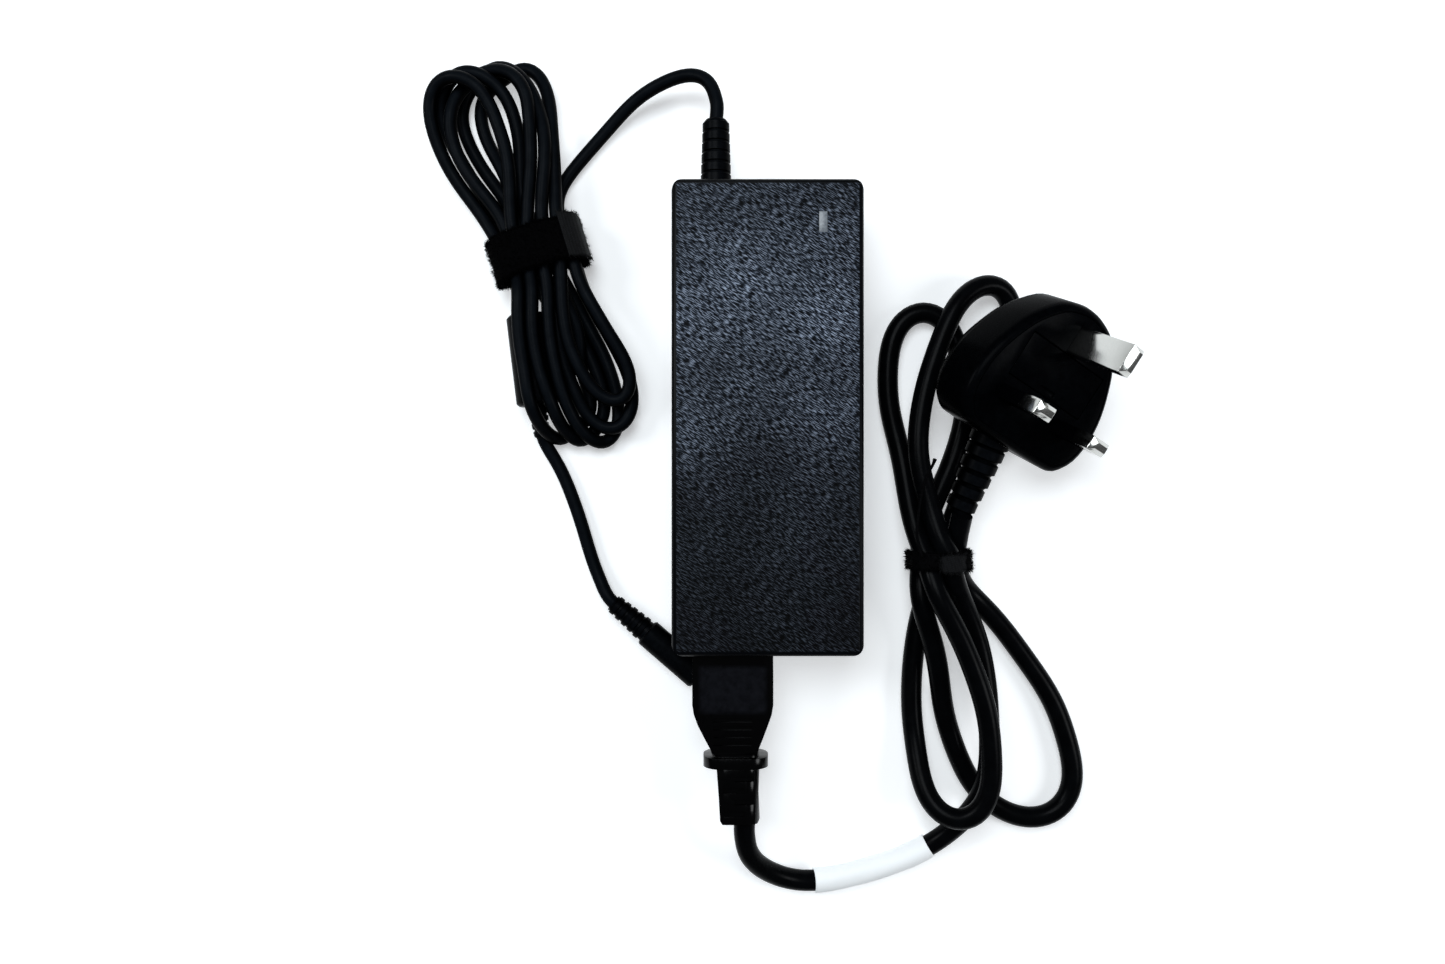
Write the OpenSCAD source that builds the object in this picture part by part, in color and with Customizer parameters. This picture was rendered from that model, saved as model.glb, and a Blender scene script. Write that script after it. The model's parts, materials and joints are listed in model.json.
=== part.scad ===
// Laptop power adapter: a two-shell brick with its circuit board inside,
// a captive low-voltage lead bundled in a strap, and a detachable mains
// lead with an appliance connector and a fused three-pin plug.
// Millimetres. Origin at the centre of the brick's underside, +Z up,
// +Y towards the end where the low-voltage lead comes out.

/* [Brick] */
// Width of the brick
brick_w = 53.2; // [52:0.2:54]
// Length of the brick
brick_l = 132; // [130:1:136]
// Height of the brick
brick_h = 30; // [29:0.5:32]
// Radius of the upright corners
corner_r = 3.5; // [2:0.5:4]
// Radius of the long top and bottom edges
edge_r = 1.3; // [1:0.1:1.8]
// Wall of the moulded shells
wall = 2; // [1.8:0.1:2.2]
// Height of the joint between the two shells
joint_z = 15; // [14.5:0.1:15.5]
// Groove between the two shells
groove = 0.3; // [0.2:0.1:0.5]

/* [Low-voltage side] */
// Diameter of the low-voltage cord
dc_d = 4; // [3.6:0.1:4.4]
// Diameter of the plug barrel
barrel_d = 4.5; // [4.4:0.1:4.6]
// Bore of the plug barrel
barrel_bore = 3; // [2.8:0.1:3.1]
// Length of the bare barrel
barrel_l = 9.5; // [9:0.5:10]
// Diameter of the ferrite's cover
ferrite_d = 13; // [12:0.5:14]

/* [Mains side] */
// Diameter of the mains cord
mains_d = 6.2; // [5.8:0.1:6.3]
// Depth of the appliance inlet
inlet_depth = 12; // [11:0.5:13]
// Diameter of the inlet's pins
inlet_pin_d = 2.4; // [2.3:0.1:2.5]
// Distance of the line and neutral pins from the plug's centre
pin_half = 11.1; // [11:0.05:11.2]
// Distance of the earth pin from the line and neutral pins
earth_up = 22.2; // [22.1:0.05:22.3]
// Length of the earth pin
earth_l = 22.7; // [22.2:0.1:23.2]
// Length of the line and neutral pins
pin_l = 17.7; // [17.2:0.1:18.2]
// Length of the pins' sleeves
sleeve_l = 9.5; // [9:0.1:9.5]

/* [Hidden] */
$fn = 48;
e = 0.01;

// inner faces of the brick
in_w = brick_w - 2 * wall;
in_l = brick_l - 2 * wall;
top_in = brick_h - wall;
lip = 0.95;
// circuit board
pcb_z = 5;
pcb_t = 1.6;
deck = pcb_z + pcb_t;
posts = [[-21.5, -47], [21, -59.5], [-20.5, 58.5], [21.5, 60]];
// inlet and appliance connector
inlet_x = -9.6;
inlet_z = 16;
end_y = -brick_l / 2;
// low-voltage outlet
dc_x = -14.4;
dc_z = 15;
relief_end = 86.8;

// low-voltage plug on the surface: centre line and direction
dc_axis_z = 4.3;
dc_dir = -40.9;
dc_origin = [-45.2, -53.9, dc_axis_z];
boot_l = 13.3;
body_l = 20.4;

// ferrite: ends of its axis
fer_a = [-70.3, 32.1, 6.6];
fer_b = [-67, 4.8, 6.6];
fer_len = norm(fer_b - fer_a);
fer_dir = atan2(fer_b[1] - fer_a[1], fer_b[0] - fer_a[0]);

// three-pin plug: origin midway between line and neutral on the pin face,
// X from line to neutral, Y towards earth, Z along the pins
plug_at = [74.25, 1.63, 27.46];
plug_turn = [8.06, 28.21, -27.1];

// route of the low-voltage lead from its strain relief to the hank
lead_route = [[-14.4, 86.5, 15], [-15, 94.5, 14.5], [-19, 101.5, 12.5], [-26.5, 102.5, 9], [-34.5, 98, 5.5],
    [-42, 91, 3], [-49, 82.5, 2.2], [-54.5, 73, 2.2], [-60, 60, 2.3]];
// route of the tail from the ferrite to the plug's boot
tail_route = [[-67.2, 6.4, 6.6], [-65.5, -4, 4], [-62, -12.5, 2.3], [-58, -22, 2.2], [-54.5, -32, 2.2],
    [-51.5, -41.5, 2.4], [-48, -50, 3.6], [-44.9, -54.2, 4.3]];
// route of the mains cord from the appliance connector to the plug
mains_route = [[-6, -114.9, 16], [-5.6, -123, 14.5], [1.5, -132, 8.5], [13.5, -136.5, 4.5], [33.5, -133, 4], [52, -124, 5],
    [63.5, -108, 10.5], [66, -88, 8.5], [63.5, -67.5, 8], [56, -48.5, 13], [53.8, -42.5, 15.9], [52.6, -38.5, 15.9], [49, -28, 14], [45, -9.5, 12.5],
    [47.5, 11, 11], [55, 30, 10], [62.5, 38, 8], [70, 38.5, 5.5], [73.5, 30.5, 3.5], [71, 10, 3.3],
    [65, -8, 3.3], [58.5, -24, 3.5], [53.2, -38.5, 4.5], [51.8, -42.5, 4.5], [47, -58, 3.5], [44.5, -76, 3.5], [45, -94, 5],
    [49, -110, 11], [56.5, -114, 15], [63, -107, 17], [63.5, -87, 18], [57, -66, 18], [49, -49, 17], [47.2, -42.5, 14.8], [46.3, -38.5, 13.6],
    [43.5, -28.5, 10], [40.5, -9, 5], [37.5, 8.5, 3.5], [40, 25.5, 3.5], [47, 31.5, 3.5], [55, 27, 3.5],
    [60, 7.5, 3.5], [56.5, -10.5, 3.6], [49.5, -28, 4.4], [46.9, -38.5, 6.4], [46.4, -42.5, 7.4], [46, -51, 10], [50.5, -70, 9], [55, -90.5, 4.5],
    [63.5, -108.5, 3.5], [75.5, -116.5, 3.5], [86, -115.5, 3.5], [91.5, -106, 3.5], [87.5, -86.5, 3.5],
    [76.5, -68.5, 3.5], [64.5, -53.5, 3.5], [59, -48, 6], [55.9, -42.5, 9.6], [55.6, -38.5, 10.3], [56.7, -27.4, 15.6]];

// outline of the hank of low-voltage cord, clockwise from its waist
hank_outline = [[-59.5, 58], [-61, 70], [-62, 84], [-63.5, 93], [-67, 98.5], [-74, 101], [-82, 100.5], [-90, 99.5],
    [-95, 94], [-97, 85], [-95.5, 76], [-91, 67], [-85, 58.5], [-80.5, 51], [-78.5, 42], [-76.5, 33],
    [-73, 20], [-70, 6], [-65, -2], [-58, -6.5], [-50, -8], [-43, -6.5], [-38.5, 0], [-38.5, 9],
    [-42, 21], [-48, 33], [-54.5, 45]];

// ---------------------------------------------------------------- helpers
function unit(v) = v / norm(v);
function cr(p, i, t) = let (a = p[(i - 1 + len(p)) % len(p)], b = p[i % len(p)], c = p[(i + 1) % len(p)], d = p[(i + 2) % len(p)])
    0.5 * (2 * b + (c - a) * t + (2 * a - 5 * b + 4 * c - d) * t * t + (3 * b - a - 3 * c + d) * t * t * t);
// closed smooth outline through hand-placed points
function smooth(p, n) = [for (i = [0:len(p) - 1], k = [0:n - 1]) cr(p, i, k / n)];
function tang(p, i) = unit(p[min(i + 1, len(p) - 1)] - p[max(i - 1, 0)]);
// round tube swept along a route, level side to side
module tube(p, r, n) {
    c = len(p);
    pts = [for (i = [0:c - 1], k = [0:n - 1])
        let (t = tang(p, i), s = unit(cross(t, [0, 0, 1])), u = cross(s, t), a = 360 * (k + 0.5) / n)
        p[i] + r * (cos(a) * s + sin(a) * u)];
    sides = [for (i = [0:c - 2], k = [0:n - 1], h = [0:1])
        let (a = i * n + k, b = i * n + (k + 1) % n)
        h == 0 ? [a, b, b + n] : [a, b + n, a + n]];
    polyhedron(pts, concat([[for (k = [n - 1:-1:0]) k]], sides, [[for (k = [0:n - 1]) (c - 1) * n + k]]));
}
module rrect(w, l, r) {
    square([w - 2 * r, l], center = true);
    square([w, l - 2 * r], center = true);
    for (x = [-1, 1], y = [-1, 1]) translate([x * (w / 2 - r), y * (l / 2 - r)]) circle(r);
}
// box with round upright corners and round long edges
module soft_box(w, l, h, rc, re) {
    intersection() {
        linear_extrude(h) rrect(w, l, rc);
        translate([0, 0, h / 2]) rotate([90, 0, 0]) linear_extrude(l + 2, center = true) rrect(w, h, re);
        translate([0, 0, h / 2]) rotate([90, 0, 90]) linear_extrude(w + 2, center = true) rrect(l, h, re);
    }
}
module along_y(p) { translate(p) rotate([-90, 0, 0]) children(); }
module ring(ro, ri, h) { difference() { cylinder(r = ro, h = h); translate([0, 0, -1]) cylinder(r = ri, h = h + 2); } }

// ------------------------------------------------------------------ brick
module inlet_window(g) { translate([inlet_x - 11.2 - g, end_y - 1, inlet_z - 8.7 - g]) cube([22.4 + 2 * g, wall + 2, 17.4 + 2 * g]); }
module relief_window() { along_y([dc_x, brick_l / 2 - wall - 1, dc_z]) cylinder(r = 3.5, h = wall + 2); }

module top_shell() color([0.07, 0.075, 0.09]) {
    difference() {
        soft_box(brick_w, brick_l, brick_h, corner_r, edge_r);
        translate([-50, -100, -1]) cube([100, 200, joint_z + groove + 1]);
        translate([0, 0, 2]) linear_extrude(top_in - 2) rrect(in_w, in_l, 1);
        translate([0, 0, 2]) linear_extrude(joint_z + 0.2) rrect(in_w + 2 * lip + 0.1, in_l + 2 * lip + 0.1, 2.4);
        inlet_window(0.1);
        relief_window();
        translate([14.1, 51.1, top_in - 1]) cube([2.4, 5.8, 4]);
    }
    for (p = posts) translate([p[0], p[1], deck + 0.2]) cylinder(r = 2, h = top_in - deck - 0.1);
}

module bottom_shell() color([0.06, 0.065, 0.08]) {
    difference() {
        union() {
            difference() {
                soft_box(brick_w, brick_l, brick_h, corner_r, edge_r);
                translate([-50, -100, joint_z]) cube([100, 200, 40]);
            }
            translate([0, 0, 8]) linear_extrude(joint_z - 6) rrect(in_w + 2 * lip, in_l + 2 * lip, 2.3);
        }
        translate([0, 0, 2]) linear_extrude(30) rrect(in_w, in_l, 1);
        inlet_window(0.1);
        relief_window();
    }
    for (p = posts) translate([p[0], p[1], 1.9]) cylinder(r = 2.4, h = pcb_z - 1.9);
}

module led_light_pipe() color([0.75, 0.78, 0.78]) {
    translate([14.15, 51.15, 14]) cube([2.3, 5.7, brick_h - 14.1]);
    translate([13.6, 50.6, 25.8]) cube([3.4, 6.8, 2.1]);
    translate([14.3, 52.6, 9.4]) cube([2, 2.8, 5]);
}

module status_led() color([0.9, 0.95, 0.9])
    translate([13.8, 52, deck + 0.05]) { cube([3, 4, 1.6]); translate([1.5, 2, 1.5]) cylinder(r = 1.1, h = 0.8); }

module circuit_board() color([0.12, 0.32, 0.16]) difference() {
    translate([-23, -50.5, pcb_z]) cube([46, 112.5, pcb_t]);
    translate([-23.5, -51, pcb_z - 1]) cube([27.3, 3.2, 4]);
}

module insulation_sheet() color([0.75, 0.72, 0.55]) difference() {
    translate([-23.6, -63, 3.6]) cube([47.2, 126, 0.4]);
    for (p = posts) translate([p[0], p[1], 0]) cylinder(r = 2.8, h = 8);
}

module heat_spreader() color([0.7, 0.7, 0.72]) difference() {
    union() {
        translate([-23.6, -44, 26.9]) cube([47.2, 96, 0.6]);
        for (x = [-23.6, 23]) translate([x, -44, 9]) cube([0.6, 96, 18.2]);
    }
    for (p = posts) translate([p[0], p[1], 0]) cylinder(r = 2.4, h = 40);
    translate([13, 49.9, 20]) cube([4.6, 3, 10]);
}

// three lobes of the inlet and of the connector's nose
module lobes(r) {
    for (x = [-5, 5]) translate([x, -2.2]) circle(r);
    translate([0, 2.6]) circle(r);
    translate([-5, -2.2 - r]) square([10, 2 * r]);
}
pin_spots = [[-5, -2.2], [5, -2.2], [0, 2.6]];

module inlet_housing() color([0.05, 0.05, 0.055]) translate([inlet_x, end_y, inlet_z]) rotate([-90, 0, 0]) mirror([0, 1, 0])
    difference() {
        union() {
            translate([0, 0, 0.05]) linear_extrude(14) rrect(22.3, 17.3, 1);
            translate([0, 0, 2.2]) linear_extrude(1.8) rrect(25, 20.4, 1);
        }
        translate([0, 0, -1]) linear_extrude(inlet_depth + 1) lobes(3.85);
        for (p = pin_spots) translate([p[0], p[1], 0]) cylinder(d = inlet_pin_d, h = 30);
    }

module inlet_pins() color([0.8, 0.7, 0.4]) translate([inlet_x, end_y, inlet_z]) rotate([-90, 0, 0]) mirror([0, 1, 0])
    for (p = pin_spots) translate([p[0], p[1], 2.5]) cylinder(d = inlet_pin_d, h = 14.5);

module input_fuse() color([0.9, 0.9, 0.85]) translate([13, -47, deck + 3]) rotate([-90, 0, 0]) {
    cylinder(r = 2.5, h = 20);
    for (y = [1, 18.6]) translate([-0.4, 0, y]) cube([0.8, 2.95, 0.4]);
}

module filter_choke_core() color([0.25, 0.3, 0.25]) translate([-11, -33, deck + 1.6]) rotate_extrude() translate([4.4, 0]) square([3.6, 6]);

module filter_choke_winding() color([0.72, 0.4, 0.2]) translate([-11, -33, deck + 0.1]) difference() {
    for (s = [0, 1]) rotate([0, 0, 180 * s]) rotate([0, 0, 25]) rotate_extrude(angle = 130) translate([2.8, 0]) square([6.6, 9]);
    translate([0, 0, 1.4]) rotate_extrude() translate([4.3, 0]) square([3.8, 6.2]);
}

module x_capacitor() color([0.85, 0.75, 0.15]) translate([3.5, -25, deck + 0.1]) cube([18, 8, 14]);

module bridge_rectifier() color([0.1, 0.1, 0.1]) translate([-21, -23.5, deck + 3.1]) {
    cube([19, 3.6, 14]);
    for (x = [1.2, 6.4, 11.6, 16.8]) translate([x, 1.5, -3]) cube([0.9, 0.6, 3.1]);
}

module bulk_capacitor() color([0.1, 0.12, 0.2]) along_y([-12.5, -18.6, deck + 9.2]) { cylinder(r = 9, h = 33); translate([0, 0, -0.9]) cylinder(r = 7.6, h = 1); }

module transformer_core() color([0.2, 0.2, 0.22]) translate([-8, 33, deck + 0.2]) difference() {
    translate([-14, -13, 0]) cube([28, 26, 18]);
    for (x = [-10.2, 4.4]) translate([x, -9, -1]) cube([5.8, 18, 20]);
}

module transformer_winding() color([0.85, 0.8, 0.3]) translate([-8, 33, deck + 0.4]) for (x = [-10, 4.5]) translate([x, -8.8, 0]) cube([5.5, 17.6, 17.6]);

module switch_heatsink() color([0.75, 0.75, 0.77]) translate([2, -14, deck + 0.1]) cube([2, 30, 18]);

module switch_transistor() color([0.08, 0.08, 0.08]) translate([4.05, -8, deck + 3.1]) {
    cube([4.4, 10, 9]);
    cube([1.2, 10, 15.2]);
    for (y = [2, 4.6, 7.2]) translate([1.8, y, -3]) cube([0.5, 0.8, 3.1]);
}

module output_heatsink() color([0.75, 0.75, 0.77]) translate([9.5, 19, deck + 0.1]) cube([2, 28, 18]);

module output_rectifier() color([0.08, 0.08, 0.08]) translate([11.55, 26, deck + 3.1]) {
    cube([4.2, 10, 9]);
    cube([1.2, 10, 15.2]);
    for (y = [2, 4.6, 7.2]) translate([1.8, y, -3]) cube([0.5, 0.8, 3.1]);
}

module output_capacitors() color([0.15, 0.2, 0.35]) for (y = [22, 32.5, 43]) translate([19.2 - (y == 32.5 ? 0 : 0.2), y, deck + 0.1]) { cylinder(r = 3.2, h = 15.6); cylinder(r = 2.9, h = 16); }

module y_capacitor() color([0.2, 0.35, 0.7]) translate([14, 8, deck + 4.2]) rotate([90, 0, 0]) { cylinder(r = 4, h = 2.6); for (x = [-2.5, 2.1]) translate([x, -4.1, 1]) cube([0.5, 2, 0.5]); }

module optocoupler() color([0.1, 0.1, 0.1]) translate([12, -3, deck + 0.4]) cube([6.5, 4.6, 3.4]);

module controller_chip() color([0.1, 0.1, 0.1]) translate([12, -12, deck + 0.1]) cube([4, 5, 1.5]);

module output_wires() color([0.6, 0.1, 0.1]) for (x = [-1.3, 1.3]) translate([dc_x + x, 0, 0]) {
    along_y([0, 58.4, dc_z]) cylinder(r = 0.8, h = 3.5);
    translate([0, 58.4, deck + 0.1]) cylinder(r = 0.8, h = dc_z - deck - 0.1);
    translate([0, 58.4, dc_z]) sphere(r = 0.8);
}

module dc_strain_relief() color([0.05, 0.05, 0.055]) along_y([dc_x, 62, dc_z]) rotate_extrude() polygon(concat(
    [[0, 0], [5.2, 0], [5.2, 1.8], [3.4, 1.8], [3.4, 4.1], [4.5, 4.1], [4.5, 6.2]],
    [for (i = [0:5], k = [0:3]) let (z = 6.4 + i * 3, r = 4.4 - i * 0.1) [k == 0 || k == 3 ? r - 0.4 : r, z + [0, 0.2, 2.3, 2.5][k]]],
    [[3.45, relief_end - 62.6], [3, relief_end - 62], [0, relief_end - 62]]));

// ------------------------------------------------------ low-voltage lead
module dc_cord_lead() color([0.05, 0.05, 0.055]) tube(lead_route, dc_d / 2, 8);

module dc_cord_hank() color([0.05, 0.05, 0.055]) difference() {
    translate([0, 0, 0.3]) linear_extrude(13.9) polygon(smooth(hank_outline, 3));
    // pinched to the strap's inside
    strap_frame() translate([0, 6.7, 8.1]) rotate([90, 0, 0]) linear_extrude(13.4) difference() { square([60, 40], center = true); translate([1.4, 0]) rrect(25, 12.4, 3.4); }
    translate(fer_a) rotate([0, 0, fer_dir]) rotate([0, 90, 0]) translate([0, 0, -3]) cylinder(r = ferrite_d / 2 + 0.4, h = fer_len + 6);
    translate(fer_a) rotate([0, 0, fer_dir]) translate([-3, -ferrite_d / 2 - 0.4, -10]) cube([fer_len + 6, ferrite_d + 0.8, 10]);
    translate(fer_a) rotate([0, 0, fer_dir]) translate([-3, -ferrite_d / 2 - 0.4, 0]) cube([fer_len + 6, ferrite_d + 0.8, 20]);
}
module strap_frame() { translate([-68.6, 50.4, 0]) rotate([0, 0, 17]) children(); }

module cable_strap() color([0.04, 0.04, 0.045]) strap_frame() difference() {
    translate([0, 6.5, 8.1]) rotate([90, 0, 0]) linear_extrude(13) {
        translate([1.4, 0]) rrect(28.2, 16, 5);
        translate([9.8, -1.2]) square([7.8, 2]);
    }
    translate([0, 10, 8.1]) rotate([90, 0, 0]) linear_extrude(20) translate([1.4, 0]) rrect(25.4, 12.8, 3.6);
}

module on_ferrite(z0 = 0) { translate(fer_a) rotate([0, 0, fer_dir]) rotate([0, 90, 0]) translate([0, 0, z0]) children(); }

module ferrite_cover() color([0.05, 0.05, 0.055]) on_ferrite() difference() {
    rotate_extrude() polygon([[2.05, 0], [3.6, 0], [ferrite_d / 2 - 0.8, 0.3], [ferrite_d / 2, 1.1], [ferrite_d / 2, fer_len - 1.1],
        [ferrite_d / 2 - 0.8, fer_len - 0.3], [3.6, fer_len], [2.05, fer_len]]);
    translate([0, 0, 2]) ring(5.4, 2.6, fer_len - 4);
}

module ferrite_core() color([0.22, 0.22, 0.23]) on_ferrite(2.1) ring(5.3, 2.7, fer_len - 4.2);

module dc_cord_tail() color([0.05, 0.05, 0.055]) tube(tail_route, dc_d / 2, 8);

module on_dc(s = 0) { translate(dc_origin) rotate([0, 0, dc_dir]) rotate([0, 90, 0]) translate([0, 0, s]) children(); }

module dc_plug_boot() color([0.05, 0.05, 0.055]) on_dc() rotate_extrude() polygon(concat([[0, 0], [2.6, 0]],
    [for (i = [0:4], k = [0:3]) let (z = 0.6 + i * 2.45, r = 2.95 + i * 0.16) [k == 0 || k == 3 ? r - 0.45 : r, z + [0, 0.2, 1.6, 1.8][k]]],
    [[3.3, boot_l], [0, boot_l]]));

module dc_plug_body() color([0.05, 0.05, 0.055]) on_dc(boot_l + 0.01) difference() {
    rotate_extrude() polygon([[0, 0], [3.7, 0], [4.2, 0.5], [4.2, body_l - 0.6], [3.8, body_l], [0, body_l]]);
    translate([0, 0, body_l - 6]) cylinder(d = barrel_d - 0.4, h = 7);
}

module dc_plug_barrel() color([0.8, 0.8, 0.78]) on_dc(boot_l + body_l - 5.9) difference() {
    union() {
        translate([0, 0, 5.91]) cylinder(d = barrel_d, h = barrel_l);
        cylinder(d = barrel_d - 0.42, h = 6.2);
    }
    translate([0, 0, 2]) cylinder(d = barrel_bore + 0.7, h = barrel_l + 5);
}

module barrel_insulator() color([0.05, 0.05, 0.05]) on_dc(boot_l + body_l - 3.85) difference() {
    cylinder(d = barrel_bore + 0.66, h = barrel_l + 3.85 - 0.1);
    translate([0, 0, 1]) cylinder(d = barrel_bore, h = barrel_l + 4);
    translate([0, 0, -1]) cylinder(d = 0.84, h = 4);
}

module centre_pin() color([0.8, 0.75, 0.6]) on_dc(boot_l + body_l - 3.8) cylinder(d = 0.8, h = barrel_l + 2);

// ------------------------------------------------------------ mains lead
conn_front = end_y - 0.3;
// half of the connector's outline seen from above, from the front back
conn_half = [[11.4, 0], [11.45, -6], [11.45, -14.5], [11, -17.2], [9.9, -20.4], [8.6, -24], [7.4, -27.2], [7, -28.9]];

module appliance_connector() color([0.055, 0.055, 0.06]) translate([inlet_x, conn_front, inlet_z]) {
    difference() {
        intersection() {
            translate([0, 0, -10]) linear_extrude(20) polygon(concat([for (p = conn_half) p],
                [for (i = [len(conn_half) - 1:-1:0]) [-conn_half[i][0] + (conn_half[i][1] < -20 ? 1.2 * (-conn_half[i][1] - 20) / 9 : 0), conn_half[i][1]]]));
            translate([-15, 0, 0]) rotate([90, 0, 90]) linear_extrude(30) polygon([[0, -6.75], [0, 6.75], [-18, 6.75], [-22, 6.3], [-28.9, 5.2],
                [-28.9, -5.2], [-22, -6.3], [-18, -6.75]]);
        }
        // finger ridges above and below
        for (s = [-1, 1], i = [0:3]) translate([-5.5, -19.4 - i * 2.3, s * (6.35 - i * 0.36) - 0.5]) cube([11, 1.2, 1]);
        translate([0, 1, 0]) rotate([90, 0, 0]) linear_extrude(9) lobes(3.4);
    }
    // collar
    translate([0.9, -29.8, 0]) rotate([90, 0, 0]) linear_extrude(3) rrect(18.6, 13.4, 5.4);
    translate([0.9, -28.7, 0]) rotate([90, 0, 0]) linear_extrude(1.6) rrect(13.4, 10, 3);
}

module connector_nose() color([0.07, 0.07, 0.075]) translate([inlet_x, end_y, inlet_z]) rotate([-90, 0, 0]) mirror([0, 1, 0])
    difference() {
        translate([0, 0, -8]) linear_extrude(8 + inlet_depth - 0.6) lobes(3.35);
        for (p = pin_spots) translate([p[0], p[1], 0]) translate([0, 0, -7]) cylinder(r = 1.75, h = 30);
    }

module connector_contacts() color([0.8, 0.65, 0.3]) translate([inlet_x, end_y, inlet_z]) rotate([-90, 0, 0]) mirror([0, 1, 0])
    for (p = pin_spots) translate([p[0], p[1], -6.8]) ring(1.7, 1.28, 6.8 + inlet_depth - 1.2);

module connector_strain_relief() color([0.055, 0.055, 0.06]) translate([inlet_x + 0.9, conn_front - 32.85, inlet_z]) rotate([90, 0, 0])
    difference() {
        intersection() {
            linear_extrude(16) rrect(13.8, 10.4, 4);
            rotate([90, 0, 0]) linear_extrude(20, center = true) polygon([[-5.5, 0], [6.8, 0], [6.5, 7], [6.9, 15], [6.2, 16], [-3.8, 16], [-4.5, 15], [-4.9, 8]]);
        }
        for (s = [-1, 1], i = [0:3]) translate([1 + (i % 2 == 0 ? 1.6 : -1.6), s * 5.2, 3 + i * 3.3]) cube([6, 1.6, 1.5], center = true);
    }

module mains_cord() color([0.045, 0.045, 0.05]) tube(mains_route, mains_d / 2, 10);

// printed wrap on the cord, left bare
module cord_wrap() color([0.93, 0.93, 0.92]) tube([[14.5, -136.4, 4.4], [24, -135, 4.2], [33.5, -133, 4.05], [42, -129.2, 4.4], [49, -125.8, 4.8]], 3.9, 10);

module tie_frame() { translate([50.9, -40.4, 10.2]) rotate([0, 0, 2]) children(); }
module twist_tie() color([0.05, 0.05, 0.05]) tie_frame() rotate([90, 0, 0]) translate([0, 0, -1.5]) difference() {
    linear_extrude(3) rrect(17.6, 20.2, 6);
    translate([0, 0, -1]) linear_extrude(5) rrect(15.2, 17.8, 4.8);
}

// ------------------------------------------------------------------ plug
module plug_frame() { translate(plug_at) rotate(plug_turn) children(); }
plug_side = [[14, -12.2], [19, -11.3], [23.1, -6.2], [24.3, 1.5], [23.2, 9], [20.2, 16.6], [16.6, 22.8], [10.6, 28.9], [5, 31.2]];
plug_outline = concat([for (p = plug_side) p], [[0, 31.9]], [for (i = [len(plug_side) - 1:-1:0]) [-plug_side[i][0], plug_side[i][1]]], [[-7, -12.25], [0, -12.2], [7, -12.25]]);
module outline(k = 1) { translate([0, 8]) scale([k, k]) translate([0, -8]) polygon(smooth(plug_outline, 3)); }
carrier_w = 29.4;
carrier_u0 = 5;
carrier_u1 = 17.8;

module plug_body() color([0.04, 0.04, 0.045]) plug_frame() difference() {
    union() {
        translate([0, 0, -14]) linear_extrude(11) outline();
        // rounded rim of the face
        hull() {
            translate([0, 0, -3.02]) linear_extrude(0.02) outline();
            translate([0, 0, -1.6]) linear_extrude(0.02) outline(0.985);
            translate([0, 0, -0.6]) linear_extrude(0.02) outline(0.96);
            translate([0, 0, -0.02]) linear_extrude(0.02) outline(0.92);
        }
        hull() {
            translate([0, 0, -14.02]) linear_extrude(0.02) outline();
            translate([0, 0, -17.6]) linear_extrude(0.02) outline(0.94);
            translate([0, 0, -19.4]) linear_extrude(0.02) outline(0.84);
            translate([0, 0, -20]) linear_extrude(0.02) outline(0.72);
        }
    }
    translate([0, 0, -4.6]) linear_extrude(6) outline(0.9);
    translate([-17.5, -6, -15]) cube([35, 24.2, 12]);
    translate([-11, 17, -15]) cube([22, 8, 12]);
}

module plug_base() color([0.05, 0.05, 0.055]) plug_frame() difference() {
    translate([0, 0, -4.5]) linear_extrude(4.5) outline(0.893);
    translate([-carrier_w / 2 - 0.3, carrier_u0 - 0.3, -6]) cube([carrier_w + 0.6, carrier_u1 - carrier_u0 + 0.6, 8]);
    translate([-2.02, earth_up - 4.02, -6]) cube([4.04, 8.04, 8]);
    for (x = [-pin_half, pin_half]) translate([x - 3.2, -2.02, -6]) cube([6.4, 4.04, 8]);
}

module pin_blade(w, l, from, to, c) {
    // rectangular pin with chamfered tip
    intersection() {
        translate([-w / 2, -l / 2, from]) cube([w, l, to - from]);
        rotate([90, 0, 0]) linear_extrude(30, center = true) polygon([[-w / 2, from - 1], [w / 2, from - 1], [w / 2, to - c], [w / 2 - c * 0.8, to], [-w / 2 + c * 0.8, to], [-w / 2, to - c]]);
        rotate([90, 0, 90]) linear_extrude(30, center = true) polygon([[-l / 2, from - 1], [l / 2, from - 1], [l / 2, to - c], [l / 2 - c * 0.8, to], [-l / 2 + c * 0.8, to], [-l / 2, to - c]]);
    }
}
module earth_pin() color([0.85, 0.85, 0.83]) plug_frame() translate([0, earth_up, 0]) { pin_blade(4, 8, -4.6, earth_l, 1.5); translate([-3, -3, -9]) cube([6, 5.5, 4.45]); }
module line_pin() {
    pin_blade(6.35, 4, sleeve_l + 0.02, pin_l, 1.4);
    translate([-2.3, -1.2, -4.6]) cube([4.6, 2.4, sleeve_l + 5.1]);
    translate([-3.1, -2.4, -9]) cube([6.2, 4.8, 4.45]);
}
module live_pin() color([0.85, 0.85, 0.83]) plug_frame() translate([-pin_half, 0, 0]) line_pin();
module neutral_pin() color([0.85, 0.85, 0.83]) plug_frame() translate([pin_half, 0, 0]) line_pin();
module pin_sleeves() color([0.04, 0.04, 0.045]) plug_frame() for (x = [-pin_half, pin_half]) translate([x, 0, -4.3]) difference() {
    translate([-6.35 / 2, -2, 0]) cube([6.35, 4, sleeve_l + 4.3]);
    translate([-2.33, -1.23, -1]) cube([4.66, 2.46, sleeve_l + 8]);
}
module fuse_clips() color([0.8, 0.65, 0.3]) plug_frame() for (x = [-1, 1]) translate([x * 8.6, 11.4, 0]) difference() {
    translate([-2, -4.1, -12]) cube([4, 8.2, 6.8]);
    translate([-3, -3.5, -11.6]) cube([6, 7, 10]);
}

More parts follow.
